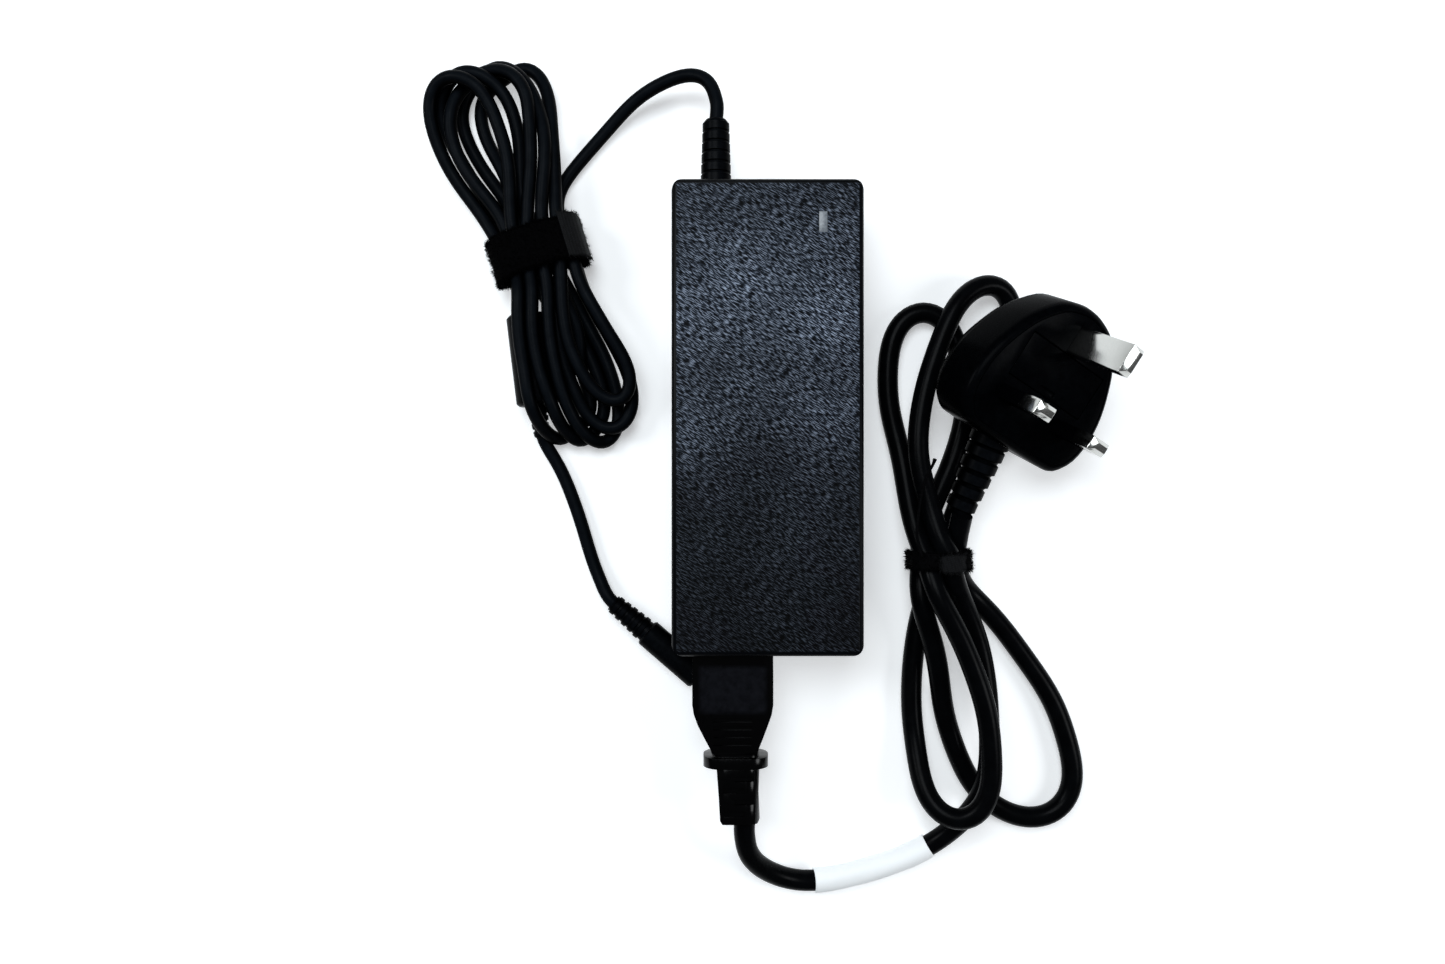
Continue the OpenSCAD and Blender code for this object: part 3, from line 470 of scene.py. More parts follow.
# five arcs above the strap, from the left leg over to the right leg
ARC = {
    1: [seen(*q) for q in [(493, 234, 5.6), (482, 216, 5), (467.5, 196.5, 5), (453.5, 175, 5.4), (443, 154.5, 6.2), (435.3, 131, 7.4), (432.5, 108.5, 8.6), (435, 95, 9.6), (441.5, 85.5, 10.6), (451, 80.5, 11.8), (462, 82, 12.8), (472, 87.5, 13.2), (480.5, 94.5, 12.8), (488.5, 107, 13), (494.5, 121, 13), (501, 137, 13), (505.5, 153, 13), (508, 171, 13), (509.5, 191, 13), (511, 212, 12.9)]],
    2: [seen(*q) for q in [(501, 224, 3.6), (487, 203, 3), (472, 179, 2.6), (459, 156, 2.6), (451, 139, 3), (446, 126, 3.8), (443.8, 112, 5), (445, 100, 6), (450, 89, 7), (458.5, 80.5, 8.4), (469, 77.3, 9.4), (480, 78.5, 9.8), (490, 82.5, 9), (498.5, 91, 9), (506, 104, 9), (512.5, 119, 9), (517, 135, 8.8), (519.5, 155, 8.6), (521, 178, 8.4), (522.5, 200, 8.3), (525, 216, 8.2)]],
    3: [seen(*q) for q in [(503, 221, 8.7), (491, 205.5, 8.5), (476, 184, 8.3), (461.5, 160.5, 8.2), (454.5, 140, 8.2), (452.3, 123, 8.4), (453.7, 110, 8.5), (458, 98, 8.2), (465, 89.5, 6.8), (473, 82.5, 5.8), (483, 76.5, 6), (494.5, 73.7, 8), (505.5, 75, 10.2), (514.5, 81, 11.6), (521, 89.5, 12.2), (525.3, 101, 12.5), (529, 116, 12.6), (530.4, 132, 12.6), (530.6, 150, 12.6), (530, 171, 12.6), (528.5, 193, 12.5), (527.8, 212, 12.5)]],
    4: [seen(*q) for q in [(512, 214, 3.6), (502, 196, 3), (491, 181, 2.5), (481.5, 166, 2.2), (473.5, 149.5, 2.1), (467.5, 134, 2.1), (465, 119, 2.1), (466, 106, 2.1), (471, 95.5, 2.1), (480, 86, 2.2), (491, 79, 3.6), (503, 75.5, 5.8), (515, 78, 7), (524.5, 86, 8), (531, 97, 9), (535.5, 108, 10), (539, 121, 11), (542, 135, 11.8), (543.8, 151, 12.2), (544.4, 171, 12.5), (544.3, 194, 12.5), (543.5, 212, 12.5)]],
    5: [seen(*q) for q in [(517, 212, 7.6), (510, 192, 6.2), (503, 173, 4.6), (495, 156, 3.2), (488.5, 141, 2.4), (484.8, 126, 2.1), (484.3, 112, 2.1), (487.5, 99, 2.1), (493, 89, 2.1), (501.5, 79.5, 2.1), (512, 73.5, 2.1), (523, 72, 2.3), (533, 76, 3), (541.3, 86, 4), (547.3, 102, 5.4), (550.7, 123, 7), (552.6, 147, 8.6), (553.4, 170, 9.8), (553.6, 193, 10.8), (554.5, 208, 11.4)]],
}
# five loops below the strap, from the left leg round to the right leg
LOOP = {
    "outer": [seen(*q) for q in [(538, 285, 8.2), (542, 300, 8.3), (549.5, 320, 8.4), (557.5, 345, 8.4), (566, 366, 8.2), (574, 386, 7.8), (584, 405, 7.2), (596, 419, 6.6), (610, 425, 6.2), (621, 420, 6), (628, 407, 6), (628.5, 391, 5.8), (625, 372, 5.2), (616.5, 351, 4.8), (604, 328, 4.4), (592, 304, 4), (582, 285, 3.8)]],
    "third": [seen(*q) for q in [(546.5, 288, 12.6), (547.5, 305, 12.8), (548.5, 322, 12.8), (551.5, 345, 12.8), (556.5, 370, 12.6), (563.5, 394, 12), (573, 414, 10.2), (584, 429.5, 7), (599, 438.8, 3.2), (610, 433.8, 2.1), (616, 423, 2.1), (616.3, 410, 2.1), (611, 396, 2.1), (606, 381, 2.1), (600, 366, 2.1), (594, 350, 2.1), (588, 335, 2.1), (581, 320, 2.1), (573, 305, 2.6), (566, 291, 3.4)]],
    "upper": [seen(*q) for q in [(561.5, 285, 12.3), (562.5, 302, 12.2), (565, 322, 12), (570.5, 345, 11.8), (580, 365, 11.4), (592, 382, 10.8), (604, 394, 10.4), (616, 397.5, 10.2), (624.5, 390, 10.2), (626.5, 377, 10.6), (621.5, 360, 11), (612, 341, 11.6), (601, 320, 12.1), (590, 300, 12.4), (580, 281, 12.4)]],
    "first": [seen(*q) for q in [(519.5, 285, 14.6), (518, 302, 15.2), (518.5, 320, 15.2), (520.5, 340, 15.2), (523, 360, 15.2), (527.5, 384, 15), (534, 408, 13), (544, 425.6, 9), (553.5, 434.8, 5), (563, 437.2, 2.6), (575, 432.6, 2.1), (583.5, 421, 2.1), (588.8, 406, 2.1), (588.5, 390, 2.1), (587, 375, 2.6), (584, 358, 4.5), (580, 341, 6.2), (575, 324, 7.2), (569, 307, 7.8), (562, 291, 8)]],
    "second": [seen(*q) for q in [(530.5, 285, 13.8), (530.5, 302, 14.8), (531.5, 320, 15), (534.5, 345, 15), (540, 370, 14.8), (548, 394, 14.2), (558, 414, 11.5), (568, 428, 7.6), (580, 434.5, 3.4), (592, 430, 2.1), (600, 418, 2.1), (603, 403, 2.1), (602, 388, 2.1), (598, 372, 2.1), (591.5, 355, 2.1), (584, 338, 2.1), (575, 321, 2.1), (565, 304, 2.3), (556, 290, 3)]],
}
LEAD = [np.array((-14.4, 86.5, 15.0))] + [seen(*q) for q in [(717.1, 108.7, 15), (716.4, 101.6, 14.8), (714, 94.4, 14.4), (710, 87.9, 13.8), (704.2, 82.6, 13), (697.3, 79.2, 12.2), (690, 77.9, 11.4), (682.4, 78.6, 10.6), (674.4, 80.9, 9.8), (665.2, 84.4, 8.8), (656, 89.1, 7.8), (646.8, 92.9, 6.8), (637.7, 100.3, 5.8), (628.5, 108.4, 4.8), (619.3, 117.6, 3.9), (610.1, 127.9, 3.1), (600.9, 138.2, 2.5), (591.7, 148.6, 2.2), (582.6, 160, 2.1), (574.5, 171, 2.1), (567.3, 182.4, 2.1), (562, 193, 2.2), (558.8, 204, 2.8)]]
THROUGH = [np.array(p, float) for p in [(-73.2, 40.5, 4.2), (-71.4, 36.5, 5.6), (-70.3, 32.1, 6.6), (-69.2, 23, 6.6), (-68.1, 13.9, 6.6), (-67, 4.8, 6.6)]]
TAIL = [np.array(p, float) for p in [(-66.3, -0.5, 5.6), (-64.6, -6, 3.4), (-62, -12.5, 2.3), (-58, -22, 2.1), (-54.5, -32, 2.1), (-51.5, -41.5, 2.4), (-48, -50, 3.6), (-46.6, -52.3, 4.2), (-44.9, -54.16, 4.3)]]

dc_pts, dc_held = [], []


def lay(pts, held=False, back=False):
    flags = [True, True, False, True, True] if held == "slot" else [held] * len(pts)
    dc_pts.extend(pts[::-1] if back else pts)
    dc_held.extend(flags)


lay(LEAD)
lay(strap_slot("lead"), "slot")
lay(LOOP["outer"], back=True)
lay(strap_slot("A2L"), "slot", back=True)
lay(ARC[2])
lay(strap_slot("A2R"), "slot")
lay(LOOP["first"], back=True)
lay(strap_slot("A3L"), "slot", back=True)
lay(ARC[3])
lay(strap_slot("A3R"), "slot")
lay(LOOP["third"])
lay(strap_slot("A5L"), "slot", back=True)
lay(ARC[5])
lay(strap_slot("A5R"), "slot")
lay(LOOP["upper"], back=True)
lay(strap_slot("A4R"), "slot", back=True)
lay(ARC[4], back=True)
lay(strap_slot("A4L"), "slot")
lay(LOOP["second"], back=True)
lay(strap_slot("A1R"), "slot", back=True)
lay(ARC[1], back=True)
lay(strap_slot("A1L"), "slot")
lay(THROUGH[:2])
lay(THROUGH[2:], True)
lay(TAIL)

FER_A, FER_B = np.array([-70.3, 32.1, 6.6]), np.array([-67, 4.8, 6.6])
FER_AX = (FER_B - FER_A) / np.linalg.norm(FER_B - FER_A)
FER_L = np.linalg.norm(FER_B - FER_A)


def off_ferrite(p, inv):
    q = p - FER_A
    t = q @ FER_AX
    rad = q - np.outer(t, FER_AX)
    dist = np.linalg.norm(rad, axis=1)
    need = 6.5 + 2.0 + 0.12
    k = np.where((t > -0.5) & (t < FER_L + 0.5) & (dist < need) & (inv > 0))[0]
    if len(k):
        p[k] += rad[k] / (dist[k][:, None] + 1e-9) * (need - dist[k])[:, None] * 0.7
    return p


DC_D = 4.0
track, held = catmull(np.array(dc_pts), 2.5, dc_held)
held[:3] = True
held[-3:] = True
dc_line = settle(track, DC_D, held, 500, 0.04, 0.03, off_ferrite)
dc_line = smooth_line(dc_line, 1.25)
dc_len = np.linalg.norm(np.diff(dc_line, axis=0), axis=1).sum()
dc_cord = cord_curve("dc_cord", dc_line, DC_D - 0.04, M["cord_black"], 6)
print("low-voltage cord", round(dc_len, 1), "mm")

# ------------------------------------------------------- mains cord, mm
MAINS_ROUTE = [(-6, -114.9, 16), (-5.6, -123, 14.5), (1.5, -132, 8.5), (13.5, -136.5, 4.5), (33.5, -133, 4), (52, -124, 5),
    (63.5, -108, 10.5), (66, -88, 8.5), (63.5, -67.5, 8), (56, -48.5, 13), (53.8, -42.5, 15.9), (52.6, -38.5, 15.9), (49, -28, 14), (45, -9.5, 12.5),
    (47.5, 11, 11), (55, 30, 10), (62.5, 38, 8), (70, 38.5, 5.5), (73.5, 30.5, 3.5), (71, 10, 3.3),
    (65, -8, 3.3), (58.5, -24, 3.5), (53.2, -38.5, 4.5), (51.8, -42.5, 4.5), (47, -58, 3.5), (44.5, -76, 3.5), (45, -94, 5),
    (49, -110, 11), (56.5, -114, 15), (63, -107, 17), (63.5, -87, 18), (57, -66, 18), (49, -49, 17), (47.2, -42.5, 14.8), (46.3, -38.5, 13.6),
    (43.5, -28.5, 10), (40.5, -9, 5), (37.5, 8.5, 3.5), (40, 25.5, 3.5), (47, 31.5, 3.5), (55, 27, 3.5),
    (60, 7.5, 3.5), (56.5, -10.5, 3.6), (49.5, -28, 4.4), (46.9, -38.5, 6.4), (46.4, -42.5, 7.4), (46, -51, 10), (50.5, -70, 9), (55, -90.5, 4.5),
    (63.5, -108.5, 3.5), (75.5, -116.5, 3.5), (86, -115.5, 3.5), (91.5, -106, 3.5), (87.5, -86.5, 3.5),
    (76.5, -68.5, 3.5), (64.5, -53.5, 3.5), (59, -48, 6), (55.9, -42.5, 9.6), (55.6, -38.5, 10.3), (56.7, -27.4, 15.6)]
MAINS_D = 6.2
track, held = catmull(np.array(MAINS_ROUTE, float), 3.0)
held[:] = False
held[:2] = True
held[-3:] = True
# pinched where the tie goes round
held[(np.abs(track[:, 1] + 40.4) < 2.4) & (track[:, 0] > 42)] = True
mains_line = settle(track, MAINS_D, held, 500, 0.04, 0.03)
mains_line = smooth_line(mains_line, 1.5)
mains_len = np.linalg.norm(np.diff(mains_line, axis=0), axis=1).sum()
mains_cord = cord_curve("mains_flex", mains_line, MAINS_D - 0.05, M["mains_cord_black"], 7)
print("mains cord", round(mains_len, 1), "mm")

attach(dc_cord, "brick")
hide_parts("dc_cord_lead", "dc_cord_hank", "dc_cord_tail")
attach(mains_cord, "mains_lead")
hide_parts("mains_cord")


# ------------------------------------------------------------ soft pieces
rng = np.random.default_rng(7)


def mesh_piece(name, verts_mm, faces, mat, smooth=True):
    me = bpy.data.meshes.new(name)
    me.from_pydata([tuple(v) for v in np.asarray(verts_mm) * MM], [], [tuple(int(i) for i in f) for f in faces])
    me.validate()
    if smooth:
        me.shade_smooth()
    me.materials.append(mat)
    o = bpy.data.objects.new(name, me)
    scene.collection.objects.link(o)
    return o


def rounded_path(cx, cz, w, h, r, n):
    """Points and outward normals round a rounded rectangle in the x-z plane, evenly spaced."""
    pts, nrm = [], []
    for qx, qz, a0 in ((1, 1, 90), (1, -1, 0), (-1, -1, -90), (-1, 1, -180)):
        for k in range(25):
            a = math.radians(a0 - 90 * k / 24)
            pts.append((cx + qx * (w / 2 - r) + r * math.cos(a), cz + qz * (h / 2 - r) + r * math.sin(a)))
    pts = np.array(pts + pts[:1])
    s = np.r_[0, np.cumsum(np.linalg.norm(np.diff(pts, axis=0), axis=1))]
    t = np.linspace(0, s[-1], n, endpoint=False)
    p = np.stack([np.interp(t, s, pts[:, k]) for k in (0, 1)], 1)
    d = np.roll(p, -1, 0) - np.roll(p, 1, 0)
    d /= np.linalg.norm(d, axis=1)[:, None]
    nrm = np.stack([-d[:, 1], d[:, 0]], 1)
    if ((p - p.mean(0)) * nrm).sum() < 0:
        nrm = -nrm
    return p, nrm


def waves(u, v, seed, amount, k=(3, 9)):
    """A smooth random height over a band, periodic in u from 0 to 1."""
    g = np.random.default_rng(seed)
    out = 0
    for _ in range(9):
        out = out + g.normal() * np.sin(2 * math.pi * g.integers(k[0], k[1]) * u + g.uniform(0, 6.3) + g.uniform(-0.5, 0.5) * v)
    return out * amount / 3


def tufts(base, normal, count, length, width, seed, sag=0.35):
    """Short tapered hairs that stand on a surface, each bent a little."""
    g = np.random.default_rng(seed)
    v, f = [], []
    for k in range(count):
        b, n = base[k % len(base)], normal[k % len(base)]
        d = n + g.normal(size=3) * 0.55
        d /= np.linalg.norm(d)
        side = np.cross(d, g.normal(size=3))
        side /= np.linalg.norm(side)
        side2 = np.cross(d, side)
        ln, w = length * g.uniform(0.45, 1.0), width * g.uniform(0.7, 1.3)
        bend = g.normal(size=3) * sag * ln
        i = len(v)
        for m in range(3):
            a = 2.094 * m
            v.append(b - 0.15 * n + w * (math.cos(a) * side + math.sin(a) * side2))
        for m in range(3):
            a = 2.094 * m
            v.append(b + 0.55 * ln * d + 0.2 * bend + 0.6 * w * (math.cos(a) * side + math.sin(a) * side2))
        v.append(b + ln * d + bend)
        for m in range(3):
            q = (m + 1) % 3
            f += [(i + m, i + q, i + 3 + q, i + 3 + m), (i + 3 + m, i + 3 + q, i + 6)]
        f.append((i + 2, i + 1, i))
    for p in v:
        p[2] = max(p[2], 0.12)
    return v, f


def band(place, cx, cz, w, h, r, width, thick, seed, lump, hairs, hair_len, mat, name, bow=0.0):
    """A fuzzy strap closed round a bundle: place turns (x, y, z) of its own frame into the object's."""
    nu, ring = 180, [(-0.5, 0.0), (-0.48, 0.36), (-0.44, 0.5), (-0.25, 0.5), (0, 0.5), (0.25, 0.5), (0.44, 0.5), (0.48, 0.36),
                     (0.5, 0.0), (0.47, -0.42), (0.4, -0.5), (0.0, -0.5), (-0.4, -0.5), (-0.47, -0.42)]
    p, n = rounded_path(cx, cz, w - thick, h - thick, r - thick / 2, nu)
    u = np.arange(nu) / nu
    verts = np.zeros((nu, len(ring), 3))
    for j, (v, t) in enumerate(ring):
        off = waves(u, v * 2, seed, lump) - lump * 0.6
        edge = waves(u, 0 * u, seed + 1 + (v > 0), 0.16 * lump / 0.2) if abs(v) > 0.3 else 0 * u
        x = p[:, 0] + n[:, 0] * (t * thick + off)
        z = p[:, 1] + n[:, 1] * (t * thick + off)
        y = v * width + edge - bow * (x - cx) ** 2
        verts[:, j] = np.stack([place(a, b, c) for a, b, c in zip(x, y, z)])
    faces = []
    m = len(ring)
    for i in range(nu):
        for j in range(m):
            faces.append((i * m + j, ((i + 1) % nu) * m + j, ((i + 1) % nu) * m + (j + 1) % m, i * m + (j + 1) % m))
    # hairs on the outer face and on both edges
    g = np.random.default_rng(seed + 9)
    mid = verts.mean(1)
    base, normal = [], []
    for _ in range(hairs):
        i = int(g.integers(nu))
        j = int(g.choice([0, 0, 1, 1, 2, 3, 4, 5, 6, 7, 7, 8, 8]))
        a, b = verts[i, j], verts[i, (j + 1) % 9]
        q = a + (b - a) * g.uniform()
        q = q + (verts[(i + 1) % nu, j] - a) * g.uniform()
        o = q - mid[i]
        o2 = np.array([n[i, 0] * SC, n[i, 0] * SS, n[i, 1]])
        d = 0.8 * o2 + (1.2 if abs(ring[j][0]) > 0.43 else 0.1) * o / np.linalg.norm(o)
        base.append(q)
        normal.append(d / np.linalg.norm(d))
    tv, tf = tufts(base, normal, hairs, hair_len, 0.11, seed + 3)
    allv = np.concatenate([verts.reshape(-1, 3), np.array(tv)])
    allv[:, 2] = np.maximum(allv[:, 2], 0.12)
    return mesh_piece(name, allv, faces + [tuple(k + nu * m for k in q) for q in tf], mat), verts


def woven(name, base, line, scale):
    """A narrow woven tape: warp and weft ribs with paler threads."""
    m, nt, b = new_mat(name)
    v = coords(nt, (1, 1, 1), (0, 0, math.radians(-17)))
    w1 = nt.nodes.new("ShaderNodeTexWave")
    w1.inputs["Scale"].default_value = scale
    w1.inputs["Distortion"].default_value = 1.5
    w1.bands_direction = "X"
    nt.links.new(v, w1.inputs["Vector"])
    w2 = nt.nodes.new("ShaderNodeTexWave")
    w2.inputs["Scale"].default_value = scale * 1.3
    w2.inputs["Distortion"].default_value = 1.5
    w2.bands_direction = "Y"
    nt.links.new(v, w2.inputs["Vector"])
    hgt = math_node(nt, "MULTIPLY", w1.outputs["Fac"], w2.outputs["Fac"])
    n = noise_tex(nt, v, 700, 3.0)
    nt.links.new(ramp(nt, math_node(nt, "MULTIPLY", hgt, n), [(0.05, base), (0.5, line)]), b.inputs["Base Color"])
    b.inputs["Roughness"].default_value = 0.8
    b.inputs["Specular IOR Level"].default_value = 0.15
    nt.links.new(bump(nt, hgt, 0.8, 0.00015), b.inputs["Normal"])
    return m


M["strap_grey"] = woven("strap_grey", (0.0005, 0.0006, 0.0008), (0.006, 0.007, 0.0085), 420)

strap, strap_ring = band(strap_at, 1.05, 8.1, 27.3, 15.8, 5.2, 12.4, 1.3, 21, 0.3, 6500, 1.25, M["strap_black"], "strap_band", 0.0072)

# the strap's woven end, laid over its right shoulder
_p, _n = rounded_path(1.05, 8.1, 27.3, 15.8, 5.2, 400)
_k0 = int(np.argmin((_p[:, 0] - 10.4) ** 2 + (_p[:, 1] - 16.0) ** 2))
_step = 1 if _p[(_k0 + 5) % 400, 0] > _p[_k0, 0] else -1
_idx = [(_k0 + _step * k) % 400 for k in range(0, 58, 3)]
_ys = np.linspace(-6.2, 6.9, 27)
_tv, _tf = [], []
for layer in (0, 1):
    for a, i in enumerate(_idx):
        for b, y in enumerate(_ys):
            lift = 0.35 + 0.55 * layer + 0.5 * (a / len(_idx)) ** 3 + 0.06 * math.sin(2.1 * a + 1.3 * b)
            yy = y - 0.0072 * (_p[i, 0] - 1.05) ** 2 + 0.5 + 0.12 * math.sin(1.7 * a)
            _tv.append(strap_at(_p[i, 0] + _n[i, 0] * lift, yy, _p[i, 1] + _n[i, 1] * lift))
_na, _nb = len(_idx), len(_ys)
_q = lambda l, a, b: l * _na * _nb + a * _nb + b
for a in range(_na - 1):
    for b in range(_nb - 1):
        _tf.append((_q(1, a, b), _q(1, a + 1, b), _q(1, a + 1, b + 1), _q(1, a, b + 1)))
        _tf.append((_q(0, a, b + 1), _q(0, a + 1, b + 1), _q(0, a + 1, b), _q(0, a, b)))
for a in range(_na - 1):
    _tf += [(_q(0, a, 0), _q(0, a + 1, 0), _q(1, a + 1, 0), _q(1, a, 0)), (_q(1, a, _nb - 1), _q(1, a + 1, _nb - 1), _q(0, a + 1, _nb - 1), _q(0, a, _nb - 1))]
for b in range(_nb - 1):
    _tf += [(_q(0, 0, b + 1), _q(0, 0, b), _q(1, 0, b), _q(1, 0, b + 1)), (_q(0, _na - 1, b), _q(0, _na - 1, b + 1), _q(1, _na - 1, b + 1), _q(1, _na - 1, b))]
# loose threads along its cut end and its two selvedges
_base, _nor = [], []
for _ in range(420):
    a, b = (_na - 1, int(rng.integers(_nb))) if rng.uniform() < 0.5 else (int(rng.integers(_na)), int(rng.choice([0, _nb - 1])))
    q0 = np.array(_tv[_q(int(rng.integers(2)), a, b)])
    out = np.array(_tv[_q(1, a, b)]) - np.array(_tv[_q(1, max(a - 1, 0), min(max(b, 1), _nb - 2))])
    _base.append(q0 + rng.normal(size=3) * 0.12)
    _nor.append(out / (np.linalg.norm(out) + 1e-9))
_hv, _hf = tufts(_base, _nor, 420, 1.3, 0.09, 77)
_off = len(_tv)
strap_end = mesh_piece("strap_end", np.concatenate([np.array(_tv), np.array(_hv)]), _tf + [tuple(k + _off for k in q) for q in _hf], M["strap_grey"])
for _o in (strap, strap_end):
    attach(_o, "brick")
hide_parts("cable_strap")

# --- tie round the mains bundle: a fuzzy strip with a paler knot and a loose end
TC, TS = math.cos(math.radians(2)), math.sin(math.radians(2))


def tie_at(x, y, z):
    return np.array([50.9 + x * TC - y * TS, -40.4 + x * TS + y * TC, 10.2 + z])


tie, tie_ring = band(tie_at, 0, 0, 17.5, 20.1, 6, 4.6, 1.2, 41, 0.3, 3600, 1.15, M["tie_black"], "tie_band")
M["tie_knot"] = woven("tie_knot", (0.0005, 0.0006, 0.0009), (0.0038, 0.005, 0.0066), 420)
_kv, _kf = [], []
_na, _nb = 22, 15
for layer in (0, 1):
    for a in range(_na):
        for b in range(_nb):
            x = -1.4 + 9.6 * a / (_na - 1)
            taper = 1 - 0.35 * max(0.0, 1 - a / 5) ** 2
            y = -0.8 + (-2.5 + 5.0 * b / (_nb - 1)) * taper + 0.15 * math.sin(1.9 * a)
            drop = max(0.0, x - 3.4)
            z = 9.85 + 0.8 * layer + 0.14 * math.sin(1.1 * a + 0.7 * b) - 0.2 * drop ** 2
            _kv.append(tie_at(x, y, z))
_q = lambda l, a, b: l * _na * _nb + a * _nb + b
for a in range(_na - 1):
    for b in range(_nb - 1):
        _kf.append((_q(1, a, b), _q(1, a + 1, b), _q(1, a + 1, b + 1), _q(1, a, b + 1)))
        _kf.append((_q(0, a, b + 1), _q(0, a + 1, b + 1), _q(0, a + 1, b), _q(0, a, b)))
for a in range(_na - 1):
    _kf += [(_q(0, a, 0), _q(0, a + 1, 0), _q(1, a + 1, 0), _q(1, a, 0)), (_q(1, a, _nb - 1), _q(1, a + 1, _nb - 1), _q(0, a + 1, _nb - 1), _q(0, a, _nb - 1))]
for b in range(_nb - 1):
    _kf += [(_q(0, 0, b + 1), _q(0, 0, b), _q(1, 0, b), _q(1, 0, b + 1)), (_q(0, _na - 1, b), _q(0, _na - 1, b + 1), _q(1, _na - 1, b + 1), _q(1, _na - 1, b))]
_base, _nor = [], []
for _ in range(380):
    a, b = (int(rng.choice([0, _na - 1])), int(rng.integers(_nb))) if rng.uniform() < 0.45 else (int(rng.integers(_na)), int(rng.choice([0, _nb - 1])))
    _base.append(np.array(_kv[_q(1, a, b)]))
    _nor.append(np.array([rng.normal() * 0.5 + (0.8 if a else -0.4), rng.normal() * 0.6 + (0.7 if b else -0.7), 0.2]))
_hv, _hf = tufts(_base, _nor, 380, 1.2, 0.1, 78)
_off = len(_kv)
tie_knot = mesh_piece("tie_knot", np.concatenate([np.array(_kv), np.array(_hv)]), _kf + [tuple(k + _off for k in q) for q in _hf], M["tie_knot"])


def tube_mesh(points, radii, sides):
    """Vertices and faces of a closed tube along points, with a radius at each."""
    points = np.asarray(points, float)
    d = np.gradient(points, axis=0)
    d /= np.linalg.norm(d, axis=1)[:, None]
    up = np.array([0.0, 0.0, 1.0])
    v, f = [], []
    for k, (q, t, r) in enumerate(zip(points, d, radii)):
        a = np.cross(t, up)
        a /= np.linalg.norm(a) + 1e-9
        b = np.cross(a, t)
        for m in range(sides):
            w = 2 * math.pi * m / sides
            rr = r(w, k) if callable(r) else r
            v.append(q + rr * (math.cos(w) * a + math.sin(w) * b))
    n = len(points)
    for k in range(n - 1):
        for m in range(sides):
            f.append((k * sides + m, k * sides + (m + 1) % sides, (k + 1) * sides + (m + 1) % sides, (k + 1) * sides + m))
    f.append(tuple(range(sides))[::-1])
    f.append(tuple((n - 1) * sides + m for m in range(sides)))
    return v, f


# the tie's loose end runs up beside the strands and stands clear at its tip
_tip = smooth_line(np.array([tie_at(-6.5, 1.5, 10.0), seen(917, 536, 18.6), seen(918.5, 515, 17.6), seen(921, 497, 17), seen(924.5, 482, 17.6),
                             seen(929, 472, 18.6), seen(933, 464.5, 19.6), seen(935, 459, 20.2)]), 0.6)
_rad = [0.42 + 0.28 * max(0.0, (k / len(_tip) - 0.93) / 0.07) for k in range(len(_tip))]
_v, _f = tube_mesh(_tip, _rad, 8)
tie_end = mesh_piece("tie_end", _v, _f, M["tie_black"])
for _o in (tie, tie_knot, tie_end):
    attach(_o, "mains_lead")
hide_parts("twist_tie")

# --- bare paper wrap on the mains cord: one turn and an overlap
_near = np.argmin(((mains_line[:, None] - np.array([[14.5, -136.4, 4.4], [49, -125.8, 4.8]])[None]) ** 2).sum(2)[:200], axis=0)
_path = smooth_line(mains_line[_near[0]:_near[1] + 1], 0.5)
_n = len(_path)


def wrap_radius(w, k):
    turn = ((w + 2.2) % (2 * math.pi)) / (2 * math.pi)
    puff = 0.10 * math.sin(3 * w + k * 0.05) + 0.05 * math.sin(5 * w - k * 0.11)
    return 3.42 + 0.26 * turn + puff * 0.5 + 0.04 * math.sin(k * 0.23)


_v, _f = tube_mesh(_path, [wrap_radius] * _n, 48)
wrap = mesh_piece("paper_wrap", _v, _f, M["wrap_white"])
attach(wrap, "mains_lead")
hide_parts("cord_wrap")

# --- ribbed nib under the ferrite, where the cord leaves it
_s = np.argmin(((dc_line - np.array([-67.0, 4.4, 6.6])) ** 2).sum(1))
_path = smooth_line(dc_line[_s - 2:_s + 8], 0.3)
_rad = [2.95 - 0.05 * (k * 0.3) - (0.5 if (k % 8) in (5, 6, 7) else 0.0) for k in range(len(_path))]
_v, _f = tube_mesh(_path, _rad, 20)
nib = mesh_piece("ferrite_nib", _v, _f, M["soft_black"])
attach(nib, "brick")


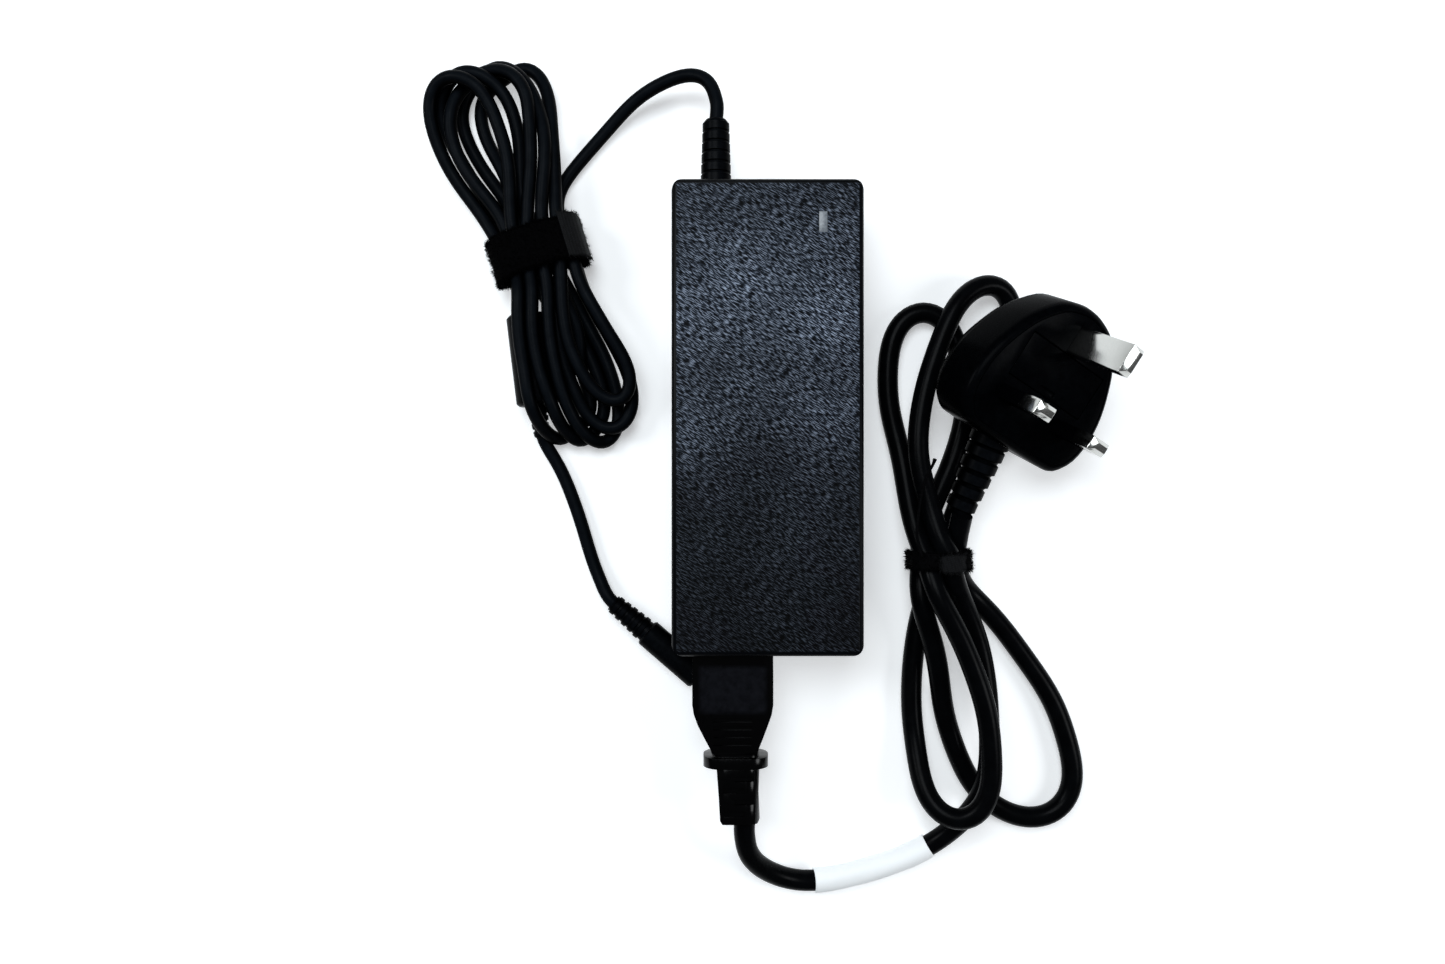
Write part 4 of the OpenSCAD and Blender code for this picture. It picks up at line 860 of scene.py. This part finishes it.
# ------------------------------------------- softened edges on hard parts
smooth_group = bpy.data.node_groups.new("smooth_by_angle", "GeometryNodeTree")
smooth_group.interface.new_socket("Geometry", in_out="INPUT", socket_type="NodeSocketGeometry")
smooth_group.interface.new_socket("Geometry", in_out="OUTPUT", socket_type="NodeSocketGeometry")
_gi = smooth_group.nodes.new("NodeGroupInput")
_go = smooth_group.nodes.new("NodeGroupOutput")
_s1 = smooth_group.nodes.new("GeometryNodeSetShadeSmooth")
_s2 = smooth_group.nodes.new("GeometryNodeSetShadeSmooth")
_s2.domain = "EDGE"
_ea = smooth_group.nodes.new("GeometryNodeInputMeshEdgeAngle")
_lt = smooth_group.nodes.new("ShaderNodeMath")
_lt.operation = "LESS_THAN"
_lt.inputs[1].default_value = math.radians(33)
smooth_group.links.new(_gi.outputs[0], _s1.inputs[0])
smooth_group.links.new(_s1.outputs[0], _s2.inputs[0])
smooth_group.links.new(_ea.outputs[0], _lt.inputs[0])
smooth_group.links.new(_lt.outputs[0], _s2.inputs[-1])
smooth_group.links.new(_s2.outputs[0], _go.inputs[0])


def soften(node, width, segments=2, angle=28):
    o = NODES[node]
    w = o.modifiers.new("weld", "WELD")
    w.merge_threshold = 0.000004
    if width:
        b = o.modifiers.new("bevel", "BEVEL")
        b.width = width
        b.segments = segments
        b.limit_method = "ANGLE"
        b.angle_limit = math.radians(angle)
        b.use_clamp_overlap = True
    g = o.modifiers.new("smooth", "NODES")
    g.node_group = smooth_group


for _name, _w in (("top_shell", 0.00006), ("bottom_shell", 0.00006), ("appliance_connector", 0.0005), ("connector_strain_relief", 0.00035),
                  ("plug_body", 0.0006), ("plug_base", 0.00015), ("fuse_carrier", 0.00025), ("plug_strain_relief", 0.0), ("dc_strain_relief", 0.0),
                  ("earth_pin", 0.00012), ("live_pin", 0.00012), ("neutral_pin", 0.00012), ("pin_sleeves", 0.00012), ("dc_plug_boot", 0.0),
                  ("dc_plug_body", 0.0), ("dc_plug_barrel", 0.0), ("ferrite_cover", 0.00015), ("led_light_pipe", 0.00006)):
    soften(_name, _w)


import json
